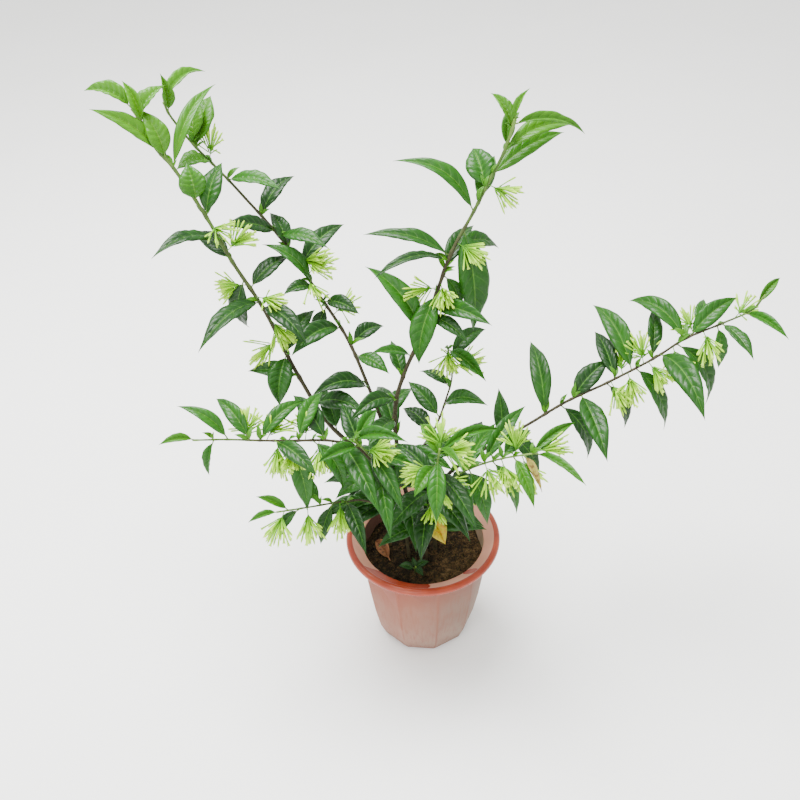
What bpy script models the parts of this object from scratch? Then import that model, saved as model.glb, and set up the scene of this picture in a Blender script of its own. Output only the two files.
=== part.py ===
"""Potted night-blooming jasmine: a faceted plastic pot, its soil, and a leafy, flowering shrub.

Metres, +Z up. The origin is the centre of the pot's underside, and the front of the plant faces -Y.
"""

import math
import random

import bmesh
import bpy
from mathutils import Matrix, Vector
from mathutils.bvhtree import BVHTree

# Driving dimensions
MM = 0.001
GAP = 0.3 * MM

# The pot's body: the height and corner radius, in millimetres, of each bend from the foot up
BODY_PROFILE = ((5, 68), (25, 75.5), (60, 82.2), (105, 88.5), (166, 95))
BODY_TOP = BODY_PROFILE[-1][0] * MM
BODY_TOP_RADIUS = BODY_PROFILE[-1][1] * MM
POT_HEIGHT = 180 * MM
POT_FACETS = 10
FACET_TURN = math.radians(29)
FOOT_RADIUS = 64.5 * MM
FOOT_HEIGHT = BODY_PROFILE[0][0] * MM
FLOOR_THICKNESS = 3 * MM
WALL_THICKNESS = 2.5 * MM

# The rim: a round lip rolled over and down, on a flange that slopes in to the wall
RIM_RADIUS = 110 * MM
RIM_STEPS = 30
LIP_RADIUS = 5.3 * MM
LIP_THICKNESS = 2.4 * MM
LIP_START = 115
LIP_END = -75
LIP_POINTS = 6
FLANGE_INNER_RADIUS = 87 * MM
FLANGE_INNER_HEIGHT = 171 * MM
FLANGE_THICKNESS = 2.4 * MM
COLLAR_RISE = 7 * MM
RIM_SEAT = 1 * MM
RIM_RISE = 0.5 * MM

DRAIN_HOLES = 4
DRAIN_RADIUS = 5 * MM
DRAIN_CIRCLE = 32 * MM

SOIL_TOP = 142 * MM
ROOT_DEPTH = 40 * MM
HOLE_SIDES = 8
DRAIN_SIDES = 12

# The stems: straight spans between curve points, and how a stem thins towards its tip
SPAN_STEPS = 2
STEM_TIP_RADIUS = 1.1 * MM
TAPER = 0.8
LAST_SEAT = 0.97

# The leaf blade: stations along the midrib, with the share of the full half-width at each
PETIOLE_LENGTH = 7 * MM
PETIOLE_RADIUS = 0.8 * MM
BLADE_STATIONS = ((0.16, 0.62), (0.38, 1.0), (0.62, 0.84), (0.84, 0.38))
SMALL_BLADE_STATIONS = ((0.20, 0.70), (0.48, 1.0), (0.80, 0.42))
SMALL_LEAF = 45 * MM
BLADE_THICKNESS = 1.2 * MM
BLADE_BOW = 0.14
BOW_SPREAD = (0.6, 1.5)
BLADE_FOLD = 14
FOLD_SPREAD = (0.5, 1.4)
YOUNG_BOW = 0.8
YOUNG_FOLD = 38
YOUNG_FROM = 0.92
YOUNG_LONGEST = 110
EDGE_WAVE = 0.022
ROLL_SPREAD = 16
LIGHT = Vector((0, -0.7, 0.7))
LIGHT_TURN = 0.6
LIGHT_TURN_MOST = 55

# How the foliage is kept clear: a leaf or spray is turned in small steps until it crosses nothing
LEAF_CLEARANCE = 0.5 * MM
OUTER_FROM = 0.11
NUDGE = 7
NUDGE_RINGS = 5
STEEPEST = 88
GUARD_SIDES = 24
GUARD_RADIUS = RIM_RADIUS + 1 * MM
GUARD_TOP = POT_HEIGHT + 2 * MM

# Lower leaves, which a rule spaces round each shoot below the listed ones
SPIRAL = 137.5
LOWEST_SHARE = 0.13
LOWER_LEAF_LENGTH = (70, 105)
LOWER_LEAF_WIDTH = (25, 32)
LOWER_LEAF_PITCH = (-10, 20)

# The flower spray: a short stalk, and tubular flowers raised from the faces of its small core
STALK_RADIUS = 0.8 * MM
STALK_LENGTH = 13 * MM
CORE_RADIUS = 2.2 * MM
CORE_LENGTH = 2.4 * MM
FLOWER_LENGTH = (22 * MM, 28 * MM)
FLOWER_TUBE_SHARE = 0.86
FLOWER_MOUTH_RADIUS = 1.7 * MM
FLOWER_GATHER = 0.45
FLOWER_SPREAD = 0.35
FLOWER_DROOP = 0.3
FLOWER_TRIES = 14
FLOWER_FACING = 0.6
FLOWER_CLEARANCE = 1 * MM
FEWEST_FLOWERS = 3

SHARP_ANGLE = math.radians(40)


class Shoot:
    """A stem or side shoot: a route, and the leaves and flower sprays along it.

    The route's points are chosen by hand, in millimetres from the origin. A leaf is its share of
    the way along the route, its heading (0 along +X, 90 along +Y), the pitch of its chord above
    the horizontal, its length and its width. A spray is share, heading, pitch and flowers.
    The leaves are set in the list's order, so an early one keeps its place and a late one yields.
    """

    def __init__(
        self, radius, route, leaves, sprays=(), lower_leaves=0, root_depth=ROOT_DEPTH / MM,
        tip_radius=STEM_TIP_RADIUS / MM,
    ):
        self.radius = radius * MM
        self.leaves = leaves
        self.sprays = sprays
        self.lower_leaves = lower_leaves
        self.bottom = SOIL_TOP - root_depth * MM
        self.in_soil = route[0][2] * MM < POT_HEIGHT
        self.points = self.smooth(route)
        last = len(self.points) - 1
        tip = min(tip_radius * MM, self.radius)
        self.radii = [self.radius + (tip - self.radius) * (i / last) ** TAPER for i in range(last + 1)]

    def smooth(self, route):
        """Points on one smooth curve through the route's own points."""
        own = [Vector(point) * MM for point in route]
        ends = [2 * own[0] - own[1]] + own + [2 * own[-1] - own[-2]]
        points = []
        for before, here, there, after in zip(ends, ends[1:], ends[2:], ends[3:]):
            for k in range(SPAN_STEPS):
                t = k / SPAN_STEPS
                points.append(0.5 * (
                    2 * here + (there - before) * t
                    + (2 * before - 5 * here + 4 * there - after) * t * t
                    + (3 * here - before - 3 * there + after) * t ** 3
                ))
        return points + [own[-1]]

    def whole_line(self):
        """The route with its radii, and the straight end that stands in the soil."""
        if not self.in_soil:
            return self.points, self.radii
        foot = Vector((self.points[0].x, self.points[0].y, self.bottom))
        return [foot] + self.points, [self.radius] + self.radii

    def at(self, share):
        """The point, direction and radius at a share of the route's length."""
        spans = [(b - a).length for a, b in zip(self.points, self.points[1:])]
        left = share * sum(spans)
        i = 0
        while left > spans[i] and i < len(spans) - 1:
            left -= spans[i]
            i += 1
        t = min(left / spans[i], LAST_SEAT)
        a, b = self.points[i], self.points[i + 1]
        radius = self.radii[i] + (self.radii[i + 1] - self.radii[i]) * t
        return a.lerp(b, t), (b - a).normalized(), radius

    def all_leaves(self, rng):
        """The lower leaves, spaced by rule in a spiral, and then the listed ones."""
        first = self.leaves[0][0]
        heading = rng.uniform(0, 360)
        lower = []
        for i in range(self.lower_leaves):
            share = LOWEST_SHARE + (first - LOWEST_SHARE) * i / self.lower_leaves
            heading += SPIRAL
            pitch = rng.uniform(*LOWER_LEAF_PITCH)
            length = rng.uniform(*LOWER_LEAF_LENGTH)
            lower.append((share, heading, pitch, length, rng.uniform(*LOWER_LEAF_WIDTH)))
        return lower + list(self.leaves)


UPPER_LEFT = Shoot(
    radius=3.4,
    tip_radius=2.0,
    lower_leaves=4,
    route=(
        (-12, 6, 152), (-28, 10, 237), (-68, 30, 293), (-124, 60, 337), (-159, 85, 395),
        (-180, 100, 440), (-203, 120, 491), (-239, 140, 553), (-266, 155, 610), (-300, 175, 667),
        (-321, 185, 692), (-331, 188, 718), (-342, 190, 742),
    ),
    leaves=(
        (0.31, 135, 15, 70, 27), (0.91, 185, 35, 100, 24), (0.38, 335, 5, 80, 28),
        (0.44, 180, 15, 70, 27), (0.49, 240, -65, 70, 35), (0.49, 60, 20, 80, 27),
        (0.59, 315, -15, 90, 28), (0.60, 235, -5, 120, 32), (0.63, 50, 10, 80, 27),
        (0.65, 250, -75, 75, 33), (0.69, 145, 20, 75, 25), (0.73, 225, 10, 105, 27),
        (0.78, 80, 35, 80, 30), (0.81, 85, 35, 50, 36), (0.88, 65, 30, 135, 19),
        (0.90, 120, 40, 65, 30), (0.97, 115, 40, 55, 20), (0.98, 30, 52, 60, 30),
        (1.0, 175, 57, 60, 30),
    ),
    sprays=(
        (0.71, 20, 40, 9), (0.64, 190, -5, 9), (0.61, 330, 0, 9), (0.56, 320, -30, 9),
        (0.52, 215, -20, 8), (0.76, 300, 10, 6),
    ),
)
BACK_LEFT = Shoot(
    radius=3.0,
    tip_radius=1.5,
    lower_leaves=4,
    route=(
        (-18, 27, 152), (-31, 30, 218), (-45, 60, 306), (-77, 100, 399), (-99, 125, 445),
        (-132, 155, 490), (-176, 190, 553), (-224, 215, 607), (-253, 230, 637), (-285, 240, 672),
        (-309, 244, 709), (-315, 243, 729),
    ),
    leaves=(
        (0.26, 55, 10, 80, 27), (0.34, 210, 15, 90, 30), (0.41, 320, -5, 60, 25),
        (0.43, 40, 5, 60, 25), (0.47, 225, 0, 90, 30), (0.52, 185, -60, 55, 23),
        (0.53, 325, 0, 60, 23), (0.56, 215, 10, 50, 22), (0.57, 150, 25, 85, 25),
        (0.61, 50, 15, 95, 28), (0.65, 135, 20, 60, 25), (0.68, 330, 0, 80, 25),
        (0.69, 215, 25, 80, 27), (0.73, 55, 20, 80, 28), (0.82, 335, 0, 80, 28),
        (0.86, 215, 10, 55, 36), (0.90, 75, 35, 80, 38), (0.91, 80, 40, 60, 32),
        (0.98, 165, 60, 50, 20), (1.0, 25, 40, 80, 22),
    ),
    sprays=(
        (0.87, 80, 50, 7), (0.50, 50, 10, 9), (0.58, 285, -15, 9), (0.62, 5, 10, 9),
        (0.59, 30, 35, 8),
    ),
)
MIDDLE = Shoot(
    radius=3.4,
    tip_radius=1.8,
    lower_leaves=6,
    route=(
        (2, 16, 152), (-20, 18, 233), (-33, 30, 331), (-32, 45, 381), (-19, 60, 421),
        (9, 85, 475), (38, 115, 545), (52, 125, 575), (74, 140, 609), (96, 150, 650),
        (114, 155, 687), (124, 150, 727),
    ),
    leaves=(
        (0.38, 220, 5, 80, 23), (0.82, 70, 20, 85, 25), (0.76, 300, -80, 145, 42),
        (0.43, 105, 25, 60, 22), (0.48, 200, 20, 60, 20), (0.53, 150, 45, 115, 30),
        (0.57, 315, -10, 70, 20), (0.59, 320, 5, 95, 25), (0.62, 255, -70, 95, 36),
        (0.66, 350, -70, 60, 20), (0.67, 60, 15, 90, 25), (0.69, 210, 5, 110, 20),
        (0.70, 175, 15, 115, 23), (0.71, 25, -15, 80, 26), (0.80, 165, 30, 120, 24),
        (0.85, 95, 35, 65, 38), (0.88, 30, 15, 115, 26), (0.93, 25, 5, 110, 26),
        (0.94, 80, 65, 50, 22), (0.98, 135, 60, 50, 21), (0.99, 15, -15, 100, 20),
        (1.0, 30, 60, 40, 13),
    ),
    sprays=(
        (0.64, 280, -10, 10), (0.63, 190, 5, 8), (0.73, 325, -15, 9), (0.86, 330, -10, 7),
    ),
)
MIDDLE_SIDE = Shoot(
    radius=1.8,
    lower_leaves=3,
    route=(
        (-23, 20, 262), (0, 36, 305), (22, 52, 335), (36, 72, 362), (46, 85, 397), (40, 100, 436),
    ),
    leaves=(
        (0.38, 130, 10, 60, 28), (0.50, 125, 15, 75, 25), (0.58, 330, 20, 70, 25),
        (0.71, 145, 10, 50, 18), (0.90, 40, 15, 70, 23), (0.97, 305, -5, 80, 25),
    ),
    sprays=(
        (0.97, 290, 0, 10), (0.86, 0, 5, 9),
    ),
)
RIGHT = Shoot(
    radius=3.0,
    lower_leaves=5,
    route=(
        (18, 4, 152), (14, 10, 225), (30, 20, 264), (68, 30, 294), (109, 35, 320), (148, 40, 343),
        (198, 45, 376), (250, 50, 401), (308, 55, 434), (345, 55, 464), (389, 55, 486),
        (421, 50, 508), (431, 45, 533),
    ),
    leaves=(
        (0.36, 95, 55, 70, 22), (0.38, 335, -50, 70, 25), (0.47, 95, 25, 115, 28),
        (0.51, 330, -60, 90, 28), (0.54, 35, 15, 75, 30), (0.56, 280, -15, 110, 32),
        (0.62, 335, -65, 75, 23), (0.64, 100, 15, 85, 25), (0.68, 110, 20, 115, 30),
        (0.69, 330, -60, 100, 28), (0.73, 80, 30, 80, 22), (0.75, 285, -10, 120, 33),
        (0.79, 335, -60, 100, 32), (0.81, 125, 5, 100, 27), (0.82, 25, 15, 80, 27),
        (0.84, 85, 30, 60, 23), (0.88, 300, -75, 60, 22), (0.89, 290, -10, 70, 22),
        (0.94, 300, 0, 70, 18), (0.97, 40, 25, 50, 15),
    ),
    sprays=(
        (0.71, 100, 45, 10), (0.66, 100, 30, 8), (0.83, 120, 30, 7), (0.63, 290, -20, 9),
        (0.67, 275, -15, 10), (0.72, 300, -25, 9), (0.78, 270, -10, 9), (0.85, 280, -20, 9),
        (0.92, 40, 20, 7),
    ),
)
RIGHT_SIDE = Shoot(
    radius=1.8,
    lower_leaves=3,
    route=(
        (16, 9, 228), (30, -14, 275), (48, -34, 322), (72, -50, 352), (103, -65, 376),
        (140, -75, 391),
    ),
    leaves=(
        (0.50, 55, 15, 90, 25), (0.56, 305, -60, 80, 25), (0.68, 50, 20, 100, 22),
        (0.74, 320, -60, 80, 22), (0.80, 45, 10, 60, 22), (0.87, 290, -30, 70, 18),
        (0.93, 285, -10, 60, 12), (0.97, 35, 10, 75, 18), (1.0, 310, 0, 80, 17),
    ),
    sprays=(
        (0.30, 320, -35, 9), (0.69, 280, -10, 9), (0.80, 285, -25, 10), (0.92, 290, -30, 9),
        (0.99, 20, 10, 9), (0.89, 95, 25, 8),
    ),
)
LEFT = Shoot(
    radius=2.5,
    route=(
        (-21, -10, 152), (-28, -6, 215), (-50, -10, 295), (-79, -20, 358), (-114, -30, 384),
        (-161, -40, 395), (-198, -45, 401), (-242, -50, 409), (-284, -55, 414),
    ),
    leaves=(
        (0.13, 130, 5, 95, 28), (0.28, 45, 10, 80, 28), (0.35, 182, 18, 80, 28), (0.43, 320, 17, 88, 30),
        (0.50, 110, 20, 75, 27), (0.57, 295, -15, 115, 30), (0.62, 125, 20, 80, 27),
        (0.66, 330, -60, 80, 25), (0.70, 75, 15, 80, 23), (0.73, 300, -70, 100, 27),
        (0.77, 315, -10, 80, 23), (0.81, 45, 5, 80, 22), (0.84, 130, 20, 75, 22),
        (0.90, 165, 35, 75, 18), (0.94, 230, -70, 50, 18), (0.99, 195, 5, 45, 15),
    ),
    sprays=(
        (0.85, 90, 35, 9), (0.79, 60, 30, 8), (0.68, 80, 35, 10), (0.76, 270, -50, 10),
        (0.71, 250, -20, 9), (0.60, 275, -35, 9), (0.64, 285, -30, 9),
    ),
)
LEFT_SIDE = Shoot(
    radius=1.6,
    lower_leaves=1,
    route=(
        (-27, -7, 208), (-52, -26, 258), (-79, -45, 292), (-110, -57, 302), (-149, -75, 312),
        (-187, -90, 320),
    ),
    leaves=(
        (0.40, 200, 10, 70, 23), (0.58, 290, -20, 80, 23), (0.66, 230, -60, 60, 20),
        (0.74, 125, 15, 60, 19), (0.86, 210, -50, 50, 17), (0.93, 165, 20, 45, 15),
        (0.99, 200, -5, 40, 13),
    ),
    sprays=(
        (0.96, 250, -20, 8), (0.82, 275, -35, 9), (0.62, 275, -30, 9),
    ),
)
LEFT_TWIG = Shoot(
    radius=1.6,
    lower_leaves=1,
    route=(
        (-33, -7, 240), (-46, -26, 300), (-62, -44, 360), (-84, -58, 408),
    ),
    leaves=(
        (0.45, 200, -10, 70, 25), (0.68, 280, -20, 110, 27), (0.78, 285, -35, 90, 23),
        (0.92, 210, 0, 60, 23), (0.97, 60, 15, 55, 23), (1.0, 335, 15, 75, 22),
    ),
    sprays=(
        (0.86, 330, 15, 9),
    ),
)
FRONT = Shoot(
    radius=2.3,
    route=(
        (4, -20, 152), (3, -22, 207), (9, -40, 284), (16, -65, 356), (20, -85, 412),
    ),
    leaves=(
        (0.17, 71, 20, 85, 28), (0.24, 208, 0, 75, 27), (0.26, 346, 5, 85, 28),
        (0.30, 200, 5, 80, 28), (0.36, 340, 0, 80, 28), (0.44, 260, -15, 84, 30),
        (0.52, 305, -10, 85, 25), (0.60, 225, -10, 85, 32), (0.70, 130, 10, 80, 25),
        (0.78, 300, -15, 95, 27), (0.86, 235, -15, 55, 23), (0.91, 265, -40, 80, 25),
        (0.95, 115, 15, 50, 22), (0.97, 20, 5, 85, 18), (1.0, 295, 10, 60, 13),
    ),
    sprays=(
        (0.70, 325, -5, 9), (0.55, 305, -25, 9), (0.96, 345, 25, 10), (0.99, 75, 30, 8),
        (0.80, 195, 10, 8),
    ),
)
SEEDLING = Shoot(
    radius=1.0,
    root_depth=10,
    route=((-13, -43, 144), (-13, -44, 153), (-12, -46, 161)),
    leaves=(
        (0.60, 172, 10, 24, 12), (0.75, 18, 15, 22, 11), (0.88, 300, 5, 21, 10), (0.91, 110, 35, 15, 8),
    ),
)

# Every leafy stem that is one plant body: its main shoot and the side shoots that grow from it
LEAFY_STEMS = (
    ("stem_upper_left", (UPPER_LEFT,)),
    ("stem_back_left", (BACK_LEFT,)),
    ("stem_middle", (MIDDLE, MIDDLE_SIDE)),
    ("stem_right", (RIGHT, RIGHT_SIDE)),
    ("stem_left", (LEFT, LEFT_SIDE, LEFT_TWIG)),
    ("stem_front", (FRONT,)),
)

# One leaf that has turned yellow, low on the front stem, and one that fell on the soil
YELLOW_LEAF = (0.36, 300, -25, 46, 27)
FALLEN_LEAF = (0, 118, 0, 46, 19)
FALLEN_LEAF_BASE = (-48, -17)


def clear_scene():
    for thing in list(bpy.data.objects):
        bpy.data.objects.remove(thing, do_unlink=True)


def new_collection(name):
    group = bpy.data.collections.new(name)
    bpy.context.scene.collection.children.link(group)
    return group


def new_material(name, colour, roughness):
    made = bpy.data.materials.new(name)
    made.use_nodes = True
    shader = made.node_tree.nodes["Principled BSDF"]
    shader.inputs["Base Color"].default_value = (*colour, 1.0)
    shader.inputs["Roughness"].default_value = roughness
    shader.inputs["Metallic"].default_value = 0.0
    return made


def object_of(name, mesh, group, material=None):
    made = bpy.data.objects.new(name, mesh)
    group.objects.link(made)
    if material:
        mesh.materials.append(material)
    return made


def mesh_of(name, shape):
    """Turn a bmesh into a mesh, shaded smooth but for its sharp edges, and free it."""
    mesh = bpy.data.meshes.new(name)
    bmesh.ops.recalc_face_normals(shape, faces=shape.faces)
    shape.to_mesh(mesh)
    shape.free()
    shade_round(mesh)
    return mesh


def shade_round(mesh):
    mesh.shade_smooth()
    mesh.set_sharp_from_angle(angle=SHARP_ANGLE)


def turned(name, profile, steps, group, closed=False, smooth=False):
    """A profile of (radius, height) pairs turned round Z, with one corner on the facets' turn."""
    corners = [(r * math.cos(FACET_TURN), r * math.sin(FACET_TURN), z) for r, z in profile]
    edges = [(i, i + 1) for i in range(len(corners) - 1)]
    if closed:
        edges.append((len(corners) - 1, 0))
    mesh = bpy.data.meshes.new(name)
    mesh.from_pydata(corners, edges, [])
    made = object_of(name, mesh, group)
    screw = made.modifiers.new("Turn", "SCREW")
    screw.axis = "Z"
    screw.steps = steps
    screw.render_steps = steps
    screw.use_merge_vertices = True
    screw.merge_threshold = 0.01 * MM
    screw.use_smooth_shade = smooth
    return made


def as_cutter(thing):
    thing.hide_render = True
    thing.display_type = "WIRE"
    return thing


def boolean(target, operation, other):
    step = target.modifiers.new(operation.title(), "BOOLEAN")
    step.operation = operation
    if isinstance(other, bpy.types.Collection):
        step.operand_type = "COLLECTION"
        step.collection = other
    else:
        step.object = other
    return step


def upright_cylinder(name, centre, radius, low, high, sides, group):
    shape = bmesh.new()
    bmesh.ops.create_cone(
        shape, cap_ends=True, segments=sides, radius1=radius, radius2=radius, depth=high - low,
        matrix=Matrix.Translation((*centre, (low + high) / 2)),
    )
    return object_of(name, mesh_of(name, shape), group)


def wall_radius(height):
    """The body's corner radius at a height, on the straight line between two bends."""
    spans = list(zip(BODY_PROFILE, BODY_PROFILE[1:]))
    (low, inner), (high, outer) = next((s for s in spans if height <= s[1][0] * MM), spans[-1])
    return (inner + (outer - inner) * (height / MM - low) / (high - low)) * MM


def pot_profile(inset, low, high):
    """The body's corner radius at two heights and at each bend between them, from top to bottom."""
    heights = [height * MM for height, radius in reversed(BODY_PROFILE[1:])]
    bends = [height for height in heights if low < height < high]
    return [(wall_radius(height) - inset, height) for height in (high, *bends, low)]


def closed_profile(points):
    return [(0, points[0][1]), *points, (0, points[-1][1])]


def arc(centre, height, radius, start, end, count):
    turns = [math.radians(start + (end - start) * i / (count - 1)) for i in range(count)]
    return [(centre + radius * math.cos(turn), height + radius * math.sin(turn)) for turn in turns]


def rim_profile():
    """The rolled lip, its flange and the collar that seats it on the wall, as a closed loop."""
    centre = RIM_RADIUS - LIP_RADIUS
    height = POT_HEIGHT - LIP_RADIUS
    seat = (BODY_TOP_RADIUS - WALL_THICKNESS / 2) * math.cos(math.pi / POT_FACETS)
    return [
        *arc(centre, height, LIP_RADIUS, LIP_START, LIP_END, LIP_POINTS),
        *arc(centre, height, LIP_RADIUS - LIP_THICKNESS, LIP_END, LIP_START, LIP_POINTS - 2),
        (BODY_TOP_RADIUS + RIM_SEAT, BODY_TOP + COLLAR_RISE),
        (BODY_TOP_RADIUS - RIM_SEAT, BODY_TOP - RIM_RISE),
        (seat, BODY_TOP - RIM_RISE),
        (FLANGE_INNER_RADIUS, FLANGE_INNER_HEIGHT - FLANGE_THICKNESS),
        (FLANGE_INNER_RADIUS, FLANGE_INNER_HEIGHT),
    ]


def make_pot(parts, cutters, material):
    """A thin faceted shell with a round rim on it, hollowed and drilled for drainage."""
    body = pot_profile(0, FOOT_HEIGHT, BODY_TOP) + [(FOOT_RADIUS, FOOT_HEIGHT), (FOOT_RADIUS, 0)]
    pot = turned("pot", closed_profile(body), POT_FACETS, parts)
    pot.data.materials.append(material)
    rim = as_cutter(turned("rim", rim_profile(), RIM_STEPS, cutters, closed=True, smooth=True))
    hollow = pot_profile(WALL_THICKNESS, FLOOR_THICKNESS, BODY_TOP + RIM_RISE)
    hollow[-1] = (FOOT_RADIUS - WALL_THICKNESS, FLOOR_THICKNESS)
    cavity = as_cutter(turned("cavity", closed_profile(hollow), POT_FACETS, cutters))
    boolean(pot, "UNION", rim)
    boolean(pot, "DIFFERENCE", cavity)
    drains = bpy.data.collections.new("drains")
    cutters.children.link(drains)
    for i in range(DRAIN_HOLES):
        turn = FACET_TURN + 2 * math.pi * (i + 0.5) / DRAIN_HOLES
        centre = (DRAIN_CIRCLE * math.cos(turn), DRAIN_CIRCLE * math.sin(turn))
        as_cutter(upright_cylinder(
            "drain_" + str(i + 1), centre, DRAIN_RADIUS, -FOOT_HEIGHT, 2 * FOOT_HEIGHT,
            DRAIN_SIDES, drains,
        ))
    boolean(pot, "DIFFERENCE", drains)


def make_soil(parts, cutters, material, standing):
    """The potting soil, with a plain hole for each stem that stands in it."""
    clear = GAP / math.cos(math.pi / POT_FACETS)
    outline = pot_profile(WALL_THICKNESS + clear, FLOOR_THICKNESS + GAP, SOIL_TOP)
    outline[-1] = (FOOT_RADIUS - WALL_THICKNESS - clear, FLOOR_THICKNESS + GAP)
    soil = turned("soil", closed_profile(outline), POT_FACETS, parts)
    soil.data.materials.append(material)
    holes = bpy.data.collections.new("stem_holes")
    cutters.children.link(holes)
    for i, shoot in enumerate(standing):
        radius = (shoot.radius + GAP) / math.cos(math.pi / HOLE_SIDES)
        as_cutter(upright_cylinder(
            "stem_hole_" + str(i + 1), shoot.points[0].xy, radius, shoot.bottom - GAP, POT_HEIGHT,
            HOLE_SIDES, holes,
        ))
    boolean(soil, "DIFFERENCE", holes)


def tube(name, points, radii, group, resolution=1):
    """A round stem along a route, as a closed mesh."""
    curve = bpy.data.curves.new(name, "CURVE")
    curve.dimensions = "3D"
    curve.bevel_depth = 1.0
    curve.bevel_resolution = resolution
    curve.use_fill_caps = True
    line = curve.splines.new("POLY")
    line.points.add(len(points) - 1)
    for spot, point, radius in zip(line.points, points, radii):
        spot.co = (*point, 1.0)
        spot.radius = radius
    drawn = object_of(name, curve, group)
    seen = drawn.evaluated_get(bpy.context.evaluated_depsgraph_get())
    mesh = bpy.data.meshes.new_from_object(seen)
    bpy.data.objects.remove(drawn, do_unlink=True)
    shape = bmesh.new()
    shape.from_mesh(mesh)
    bmesh.ops.remove_doubles(shape, verts=shape.verts, dist=0.01 * MM)
    bmesh.ops.triangulate(shape, faces=shape.faces)
    bpy.data.meshes.remove(mesh)
    return object_of(name, mesh_of(name, shape), group)


def direction(heading, pitch):
    h, p = math.radians(heading), math.radians(pitch)
    return Vector((math.cos(h) * math.cos(p), math.sin(h) * math.cos(p), math.sin(p)))


def turn_to_light(heading, pitch):
    """How far a leaf rolls about its chord to bring its upper face nearer to the light."""
    up = direction(heading, pitch + 90)
    across = direction(heading, pitch).cross(up)
    wanted = LIGHT_TURN * math.degrees(math.atan2(LIGHT.dot(across), LIGHT.dot(up)))
    return math.radians(max(-LIGHT_TURN_MOST, min(LIGHT_TURN_MOST, wanted)))


def leaf_habit(leaf, rng):
    """What a leaf's own growth settles: its fold, bow, roll and the wave of its edges."""
    share, length = leaf[0], leaf[3]
    young = share >= YOUNG_FROM and length < YOUNG_LONGEST
    return {
        "fold": math.radians(YOUNG_FOLD if young else rng.uniform(*FOLD_SPREAD) * BLADE_FOLD),
        "bow": BLADE_BOW * rng.uniform(*BOW_SPREAD) * (YOUNG_BOW if young else 1.0),
        "roll": math.radians(rng.uniform(-ROLL_SPREAD, ROLL_SPREAD)),
        "wave": [rng.uniform(-1, 1) for side in range(8)],
    }


def blade_sections(root, leaf, habit, margin=0.0, start=0.0):
    """Diamond sections (left, top, right, bottom) from the leaf's root to just before its tip."""
    share, heading, pitch, length, width = leaf
    length, width = length * MM, width * MM
    chord = direction(heading, pitch)
    turn = Matrix.Rotation(habit["roll"] + turn_to_light(heading, pitch), 3, chord)
    arch = direction(heading, pitch + 90)
    up = turn @ arch
    side = turn @ chord.cross(arch)

    def middle(s):
        return root + chord * (s * length) + arch * (4 * habit["bow"] * s * (1 - s) * length)

    stations = SMALL_BLADE_STATIONS if length < SMALL_LEAF else BLADE_STATIONS
    petiole = min(PETIOLE_LENGTH / length, 0.12)
    sections = []
    for s in (start, petiole):
        mid = middle(s)
        rise = PETIOLE_RADIUS + margin
        sections.append((mid + side * rise, mid + up * rise, mid - side * rise, mid - up * rise))
    for i, (s, share_of_width) in enumerate(stations):
        slope = 4 * habit["bow"] * (1 - 2 * s) * arch.dot(up)
        normal = (up - chord * slope).normalized()
        half = width / 2 * share_of_width + margin
        out = half * math.cos(habit["fold"])
        rise = half * math.sin(habit["fold"])
        wave = EDGE_WAVE * length
        left = middle(s) + side * out + normal * (rise + wave * habit["wave"][i])
        right = middle(s) - side * out + normal * (rise + wave * habit["wave"][i + 4])
        thick = normal * (BLADE_THICKNESS / 2 + margin)
        sections.append((left, middle(s) + thick, right, middle(s) - thick))
    return sections, middle(1.0)


def blade_mesh(sections, tip):
    """Loft the sections, splitting the upper and lower faces alike so that they never cross."""
    corners = [corner for section in sections for corner in section]
    faces = [(0, 1, 2), (0, 2, 3)]
    for i in range(0, len(corners) - 4, 4):
        left, top, right, bottom = range(i, i + 4)
        for edge in (left, right):
            for mid in (top, bottom):
                faces += [(mid, mid + 4, edge + 4), (mid, edge + 4, edge)]
    end = len(corners) - 4
    for k in range(4):
        faces.append((end + k, end + (k + 1) % 4, len(corners)))
    return corners + [tip], faces


class Space:
    """The shapes that are already placed, so that a new one can be kept clear of them."""

    def __init__(self):
        self.taken = []

    def add(self, corners, faces, owner=""):
        centre = sum(corners, Vector()) / len(corners)
        reach = max((corner - centre).length for corner in corners)
        tree = BVHTree.FromPolygons(corners, faces)
        self.taken.append((tree, centre, reach, owner))

    def is_free(self, corners, faces, owner=None):
        """Whether a shape crosses nothing here, apart from its owner's own shapes."""
        centre = sum(corners, Vector()) / len(corners)
        reach = max((corner - centre).length for corner in corners)
        tree = BVHTree.FromPolygons(corners, faces)
        for other, spot, size, whose in self.taken:
            if whose == owner or (spot - centre).length > reach + size:
                continue
            if tree.overlap(other):
                return False
        return True


def nudges():
    """Small turns of heading and pitch, the smallest first."""
    yield 0, 0
    for ring in range(1, NUDGE_RINGS + 1):
        for turn, lift in ((1, 0), (-1, 0), (0, 1), (0, -1), (1, 1), (-1, 1), (1, -1), (-1, -1)):
            yield ring * NUDGE * turn, ring * NUDGE * lift


def bend_clear(root, leaf, habit, owner, space, crown):
    """Turn a leaf a little until it crosses nothing, and return it, or None where it can't."""
    share, heading, pitch, length, width = leaf
    for turn, lift in nudges():
        tried = (share, heading + turn, max(-STEEPEST, min(STEEPEST, pitch + lift)), length, width)
        whole = blade_mesh(*blade_sections(root, tried, habit, LEAF_CLEARANCE))
        outer = blade_mesh(*blade_sections(root, tried, habit, LEAF_CLEARANCE, OUTER_FROM))
        if space.is_free(*whole, owner) and crown.is_free(*outer):
            return tried
    return None


def mesh_from_lists(name, corners, faces):
    mesh = bpy.data.meshes.new(name)
    mesh.from_pydata(corners, [], faces)
    shape = bmesh.new()
    shape.from_mesh(mesh)
    bpy.data.meshes.remove(mesh)
    return mesh_of(name, shape)


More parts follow.
